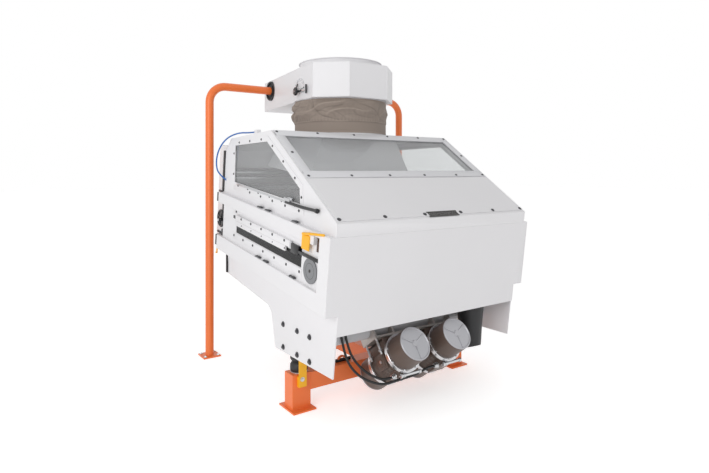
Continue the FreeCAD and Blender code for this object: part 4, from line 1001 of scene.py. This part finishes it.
# %% Outlet sock
SOCK_X = 0.41
SOCK_Y = -0.385
SOCK_LOW = 0.272
SOCK_HIGH = 0.7
SOCK_FREE = 0.56
shape = tube(0.064, 0.098, SOCK_LOW, SOCK_HIGH, 96, 40)
pan_point = LEAN @ Vector((0.0, 0.0, -0.0005))
pan_up = LEAN.to_3x3() @ Vector(UP)
for vert in shape.verts:
    turn = math.atan2(vert.co.y, vert.co.x)
    free = max(0.0, (SOCK_FREE - vert.co.z) / (SOCK_FREE - SOCK_LOW))
    sway = Vector((math.cos(turn) * 1.4, math.sin(turn) * 1.4, vert.co.z * 5))
    soft = 0.005 * free * noise.noise(sway)
    vert.co.x += SOCK_X + soft * math.cos(turn)
    vert.co.y += SOCK_Y + soft * math.sin(turn)
    vert.co.z += 0.014 * free ** 3 * ridge(turn / math.pi + 0.5)
bmesh.ops.bisect_plane(shape, geom=shape.verts[:] + shape.edges[:] + shape.faces[:],
                       plane_co=pan_point, plane_no=pan_up, clear_outer=True)
bmesh.ops.solidify(shape, geom=shape.faces[:], thickness=0.004)
made("outlet_sock_rubber", RUBBER, [(put, shape, Matrix())], node="outlet_sock")
made("outlet_sock_clamp", ZINC,
     [(turned, [(0.0965, -0.009), (0.0985, -0.009), (0.0985, 0.009), (0.0965, 0.009)],
       at(SOCK_X, SOCK_Y, 0.625) @ about("X", 7), 72, True)])
print("outlet sock and clamp made")

# %% [markdown]
# ## Inside of the hood, rear strips and base details
#
# Through the windows one sees the rails that carry the upper screen and the dark lips that seal
# it at the back. Outside, black rubber strips close the joint to the rear housing; the middle one
# is thinner behind the hand wheel, so that the rim turns free of it. The base shows weld beads
# and bolts where its tubes meet.

# %% Rails inside the hood
FORWARD = (0.0, -1.0, 0.0)
LIPS = ((0.56, 0.02, 0.03), (0.52, 0.012, 0.045), (0.455, 0.018, 0.05))
made("inner_seal_lips", RUBBER,
     [(block, (-0.712, 1.455 - deep, height), (0.712, 1.4575, height + tall), 0.002)
      for height, tall, deep in LIPS], BODY)
made("inner_rear_rails", ZINC,
     [(block, (-0.712, 1.425, 0.533), (0.712, 1.457, 0.558), 0.003),
      (block, (-0.712, 1.418, 0.474), (0.712, 1.457, 0.5185), 0.003)]
     + [(screw, (-0.64 + 0.16 * number, 1.4178, 0.497), FORWARD, 0.006, 0.005)
        for number in range(9)], BODY)
steps = [(block, (x, 0.032, 0.4325), (x + 0.01, 1.392, 0.455)) for x in (-0.7, 0.69)]
steps.append((block, (-0.69, 0.034, 0.4325), (0.69, 0.046, 0.452)))
for x in (-0.56, -0.28, 0.0, 0.28, 0.56):
    steps.append((block, (x - 0.002, 0.046, 0.4325), (x + 0.002, 1.392, 0.442), 0.0008))
made("screen_clamp_bars", ZINC, steps, BODY)
print("inner rails made")

# %% Rear strips
MIDDLE_STRIP = ((-0.7345, 0.104, 0.146), (-0.713, 0.1465, 0.2795), (-0.7345, 0.28, 0.332))
steps = [(block, (-0.7545, 1.4855, low), (-0.706, 1.512, high), 0.002)
         for low, high in ((0.022, 0.098), (0.338, 0.402))]
steps += [(block, (reach, 1.426, low), (-0.7055, 1.456, high), 0.002)
          for reach, low, high in MIDDLE_STRIP]
steps.append((block, (-0.725, 1.471, 0.412), (-0.7055, 1.502, 0.7), 0.002))
pair("rear_joint_strips", RUBBER, steps)
pair("plate_edge_strip", RUBBER,
     [(block, (-0.69, 0.922, 0.652), (-0.68, 0.9445, 0.815), 0.002)], Matrix())
pair("strap_bolts", ZINC,
     [(screw, (-0.634, -0.0712, 0.186), FORWARD, 0.009, 0.008, 6),
      (screw, (-0.634, -0.0712, 0.352), FORWARD, 0.007, 0.006, 6)], Matrix())
pair("housing_hook", YELLOW,
     [(block, (-0.711, 1.578, -0.066), (-0.705, 1.595, 0.04), 0.002),
      (block, (-0.718, 1.578, -0.066), (-0.71, 1.595, -0.058), 0.002)])
print("rear strips and hooks made")

# %% Welds and base bolts
POSTS = ((-0.734, 1.153), (1.1, 1.153))
FEET = (-0.625, 0.625)
WELD_Z = 0.0115
steps = [(turned, [(0.03, low), (wide, low), (wide - 0.0012, low + 0.003), (0.03, low + 0.0045)],
          at(x, y, 0.0), 40, True)
         for x, y in POSTS for low, wide in ((0.0105, 0.0325), (0.235, 0.0307))]
for x in FEET:
    for dx in (-0.0605, 0.0605):
        steps.append((shaft, (x + dx, -0.046, WELD_Z), (x + dx, 0.046, WELD_Z), 0.003, 0.001, 10))
    steps.append((shaft, (x - 0.058, -0.0485, WELD_Z), (x + 0.058, -0.0485, WELD_Z),
                  0.003, 0.001, 10))
made("weld_beads", ORANGE, steps)
made("portal_anchor_bolts", ZINC,
     [(screw, (x + dx, y + dy, 0.0105), UP, 0.009, 0.01, 6)
      for x, y in POSTS for dx in (-0.048, 0.048) for dy in (-0.048, 0.048)])
saddle = ([(0.036, 0.0)] + arc((0.0, 0.008), 0.036, 0, 180, 20) + [(-0.036, 0.0), (-0.024, 0.0)]
          + arc((0.0, 0.008), 0.024, 180, 0, 20) + [(0.024, 0.0)])
made("beam_saddle", ORANGE,
     [(plate, saddle, 0.012, 0.001, at(-0.316, 0.006, 0.1995) @ about("X", 90))])
made("beam_stop_rod", RUBBER, [(shaft, (-0.361, 0.0, 0.214), (-0.251, 0.0, 0.214), 0.01, 0.003)])
print("welds and anchors made")

# %% [markdown]
# ## Floor and light
#
# The picture is a catalogue shot on white. A large pale plane takes the soft contact shadows, and
# a little light of its own, more where the camera sees it, makes it white. Broad lamps to the
# left, in front and above give the even light of a studio.

# %% Studio
def area_lamp(name, place, target, size, power):
    light = bpy.data.lights.new(name, "AREA")
    light.shape = "RECTANGLE"
    light.size, light.size_y = size
    light.energy = power
    lamp = new_object(name, light)
    lamp.location = place
    lamp.rotation_euler = (Vector(target) - Vector(place)).to_track_quat("-Z", "Y").to_euler()


def seen_straight(tree):
    """Give 1 where the camera, a mirror or clear plastic looks at it, and 0 for scattered light."""
    rays = shader(tree, "LightPath")
    direct = rays.outputs["Is Camera Ray"]
    for kind in ("Is Glossy Ray", "Is Transmission Ray"):
        either = shader(tree, "Math", [(0, direct), (1, rays.outputs[kind])], operation="MAXIMUM")
        direct = either.outputs[0]
    return direct


PALE = 0.9
GLOW = 0.24
GLOW_SEEN = 0.26
PURE_WHITE = (1.0, 1.0, 1.0, 1.0)
floor_white, tree, main = new_material("pale studio floor")
main.inputs["Base Color"].default_value = (PALE, PALE, PALE, 1.0)
main.inputs["Roughness"].default_value = 0.9
main.inputs["Emission Color"].default_value = PURE_WHITE
glow = shader(tree, "Math", [(0, seen_straight(tree))], operation="MULTIPLY_ADD")
glow.inputs[1].default_value = GLOW_SEEN
glow.inputs[2].default_value = GLOW
tree.links.new(glow.outputs[0], main.inputs["Emission Strength"])

floor_mesh = bmesh.new()
bmesh.ops.create_grid(floor_mesh, x_segments=1, y_segments=1, size=40.0)
floor_data = bpy.data.meshes.new("floor")
floor_mesh.to_mesh(floor_data)
floor_mesh.free()
floor_data.materials.append(floor_white)
new_object("floor", floor_data)

area_lamp("key", (-5.2, -2.6, 2.6), (0.0, 0.0, 1.1), (3.5, 3.0), 112.0)
area_lamp("fill", (2.5, -6.0, 2.4), (0.0, 0.0, 1.1), (4.0, 3.0), 24.0)
area_lamp("top", (0.0, 0.5, 6.0), (0.0, 0.0, 0.0), (5.0, 5.0), 25.0)

world = bpy.data.worlds.new("studio")
bpy.context.scene.world = world
world.use_nodes = True
tree = world.node_tree
soft = tree.nodes["Background"]
soft.inputs["Color"].default_value = PURE_WHITE
soft.inputs["Strength"].default_value = 0.52
seen = shader(tree, "Background", Color=PURE_WHITE, Strength=1.0)
sky = shader(tree, "MixShader",
             [(0, seen_straight(tree)), (1, soft.outputs[0]), (2, seen.outputs[0])])
tree.links.new(sky.outputs[0], tree.nodes["World Output"].inputs["Surface"])
print("studio lit")
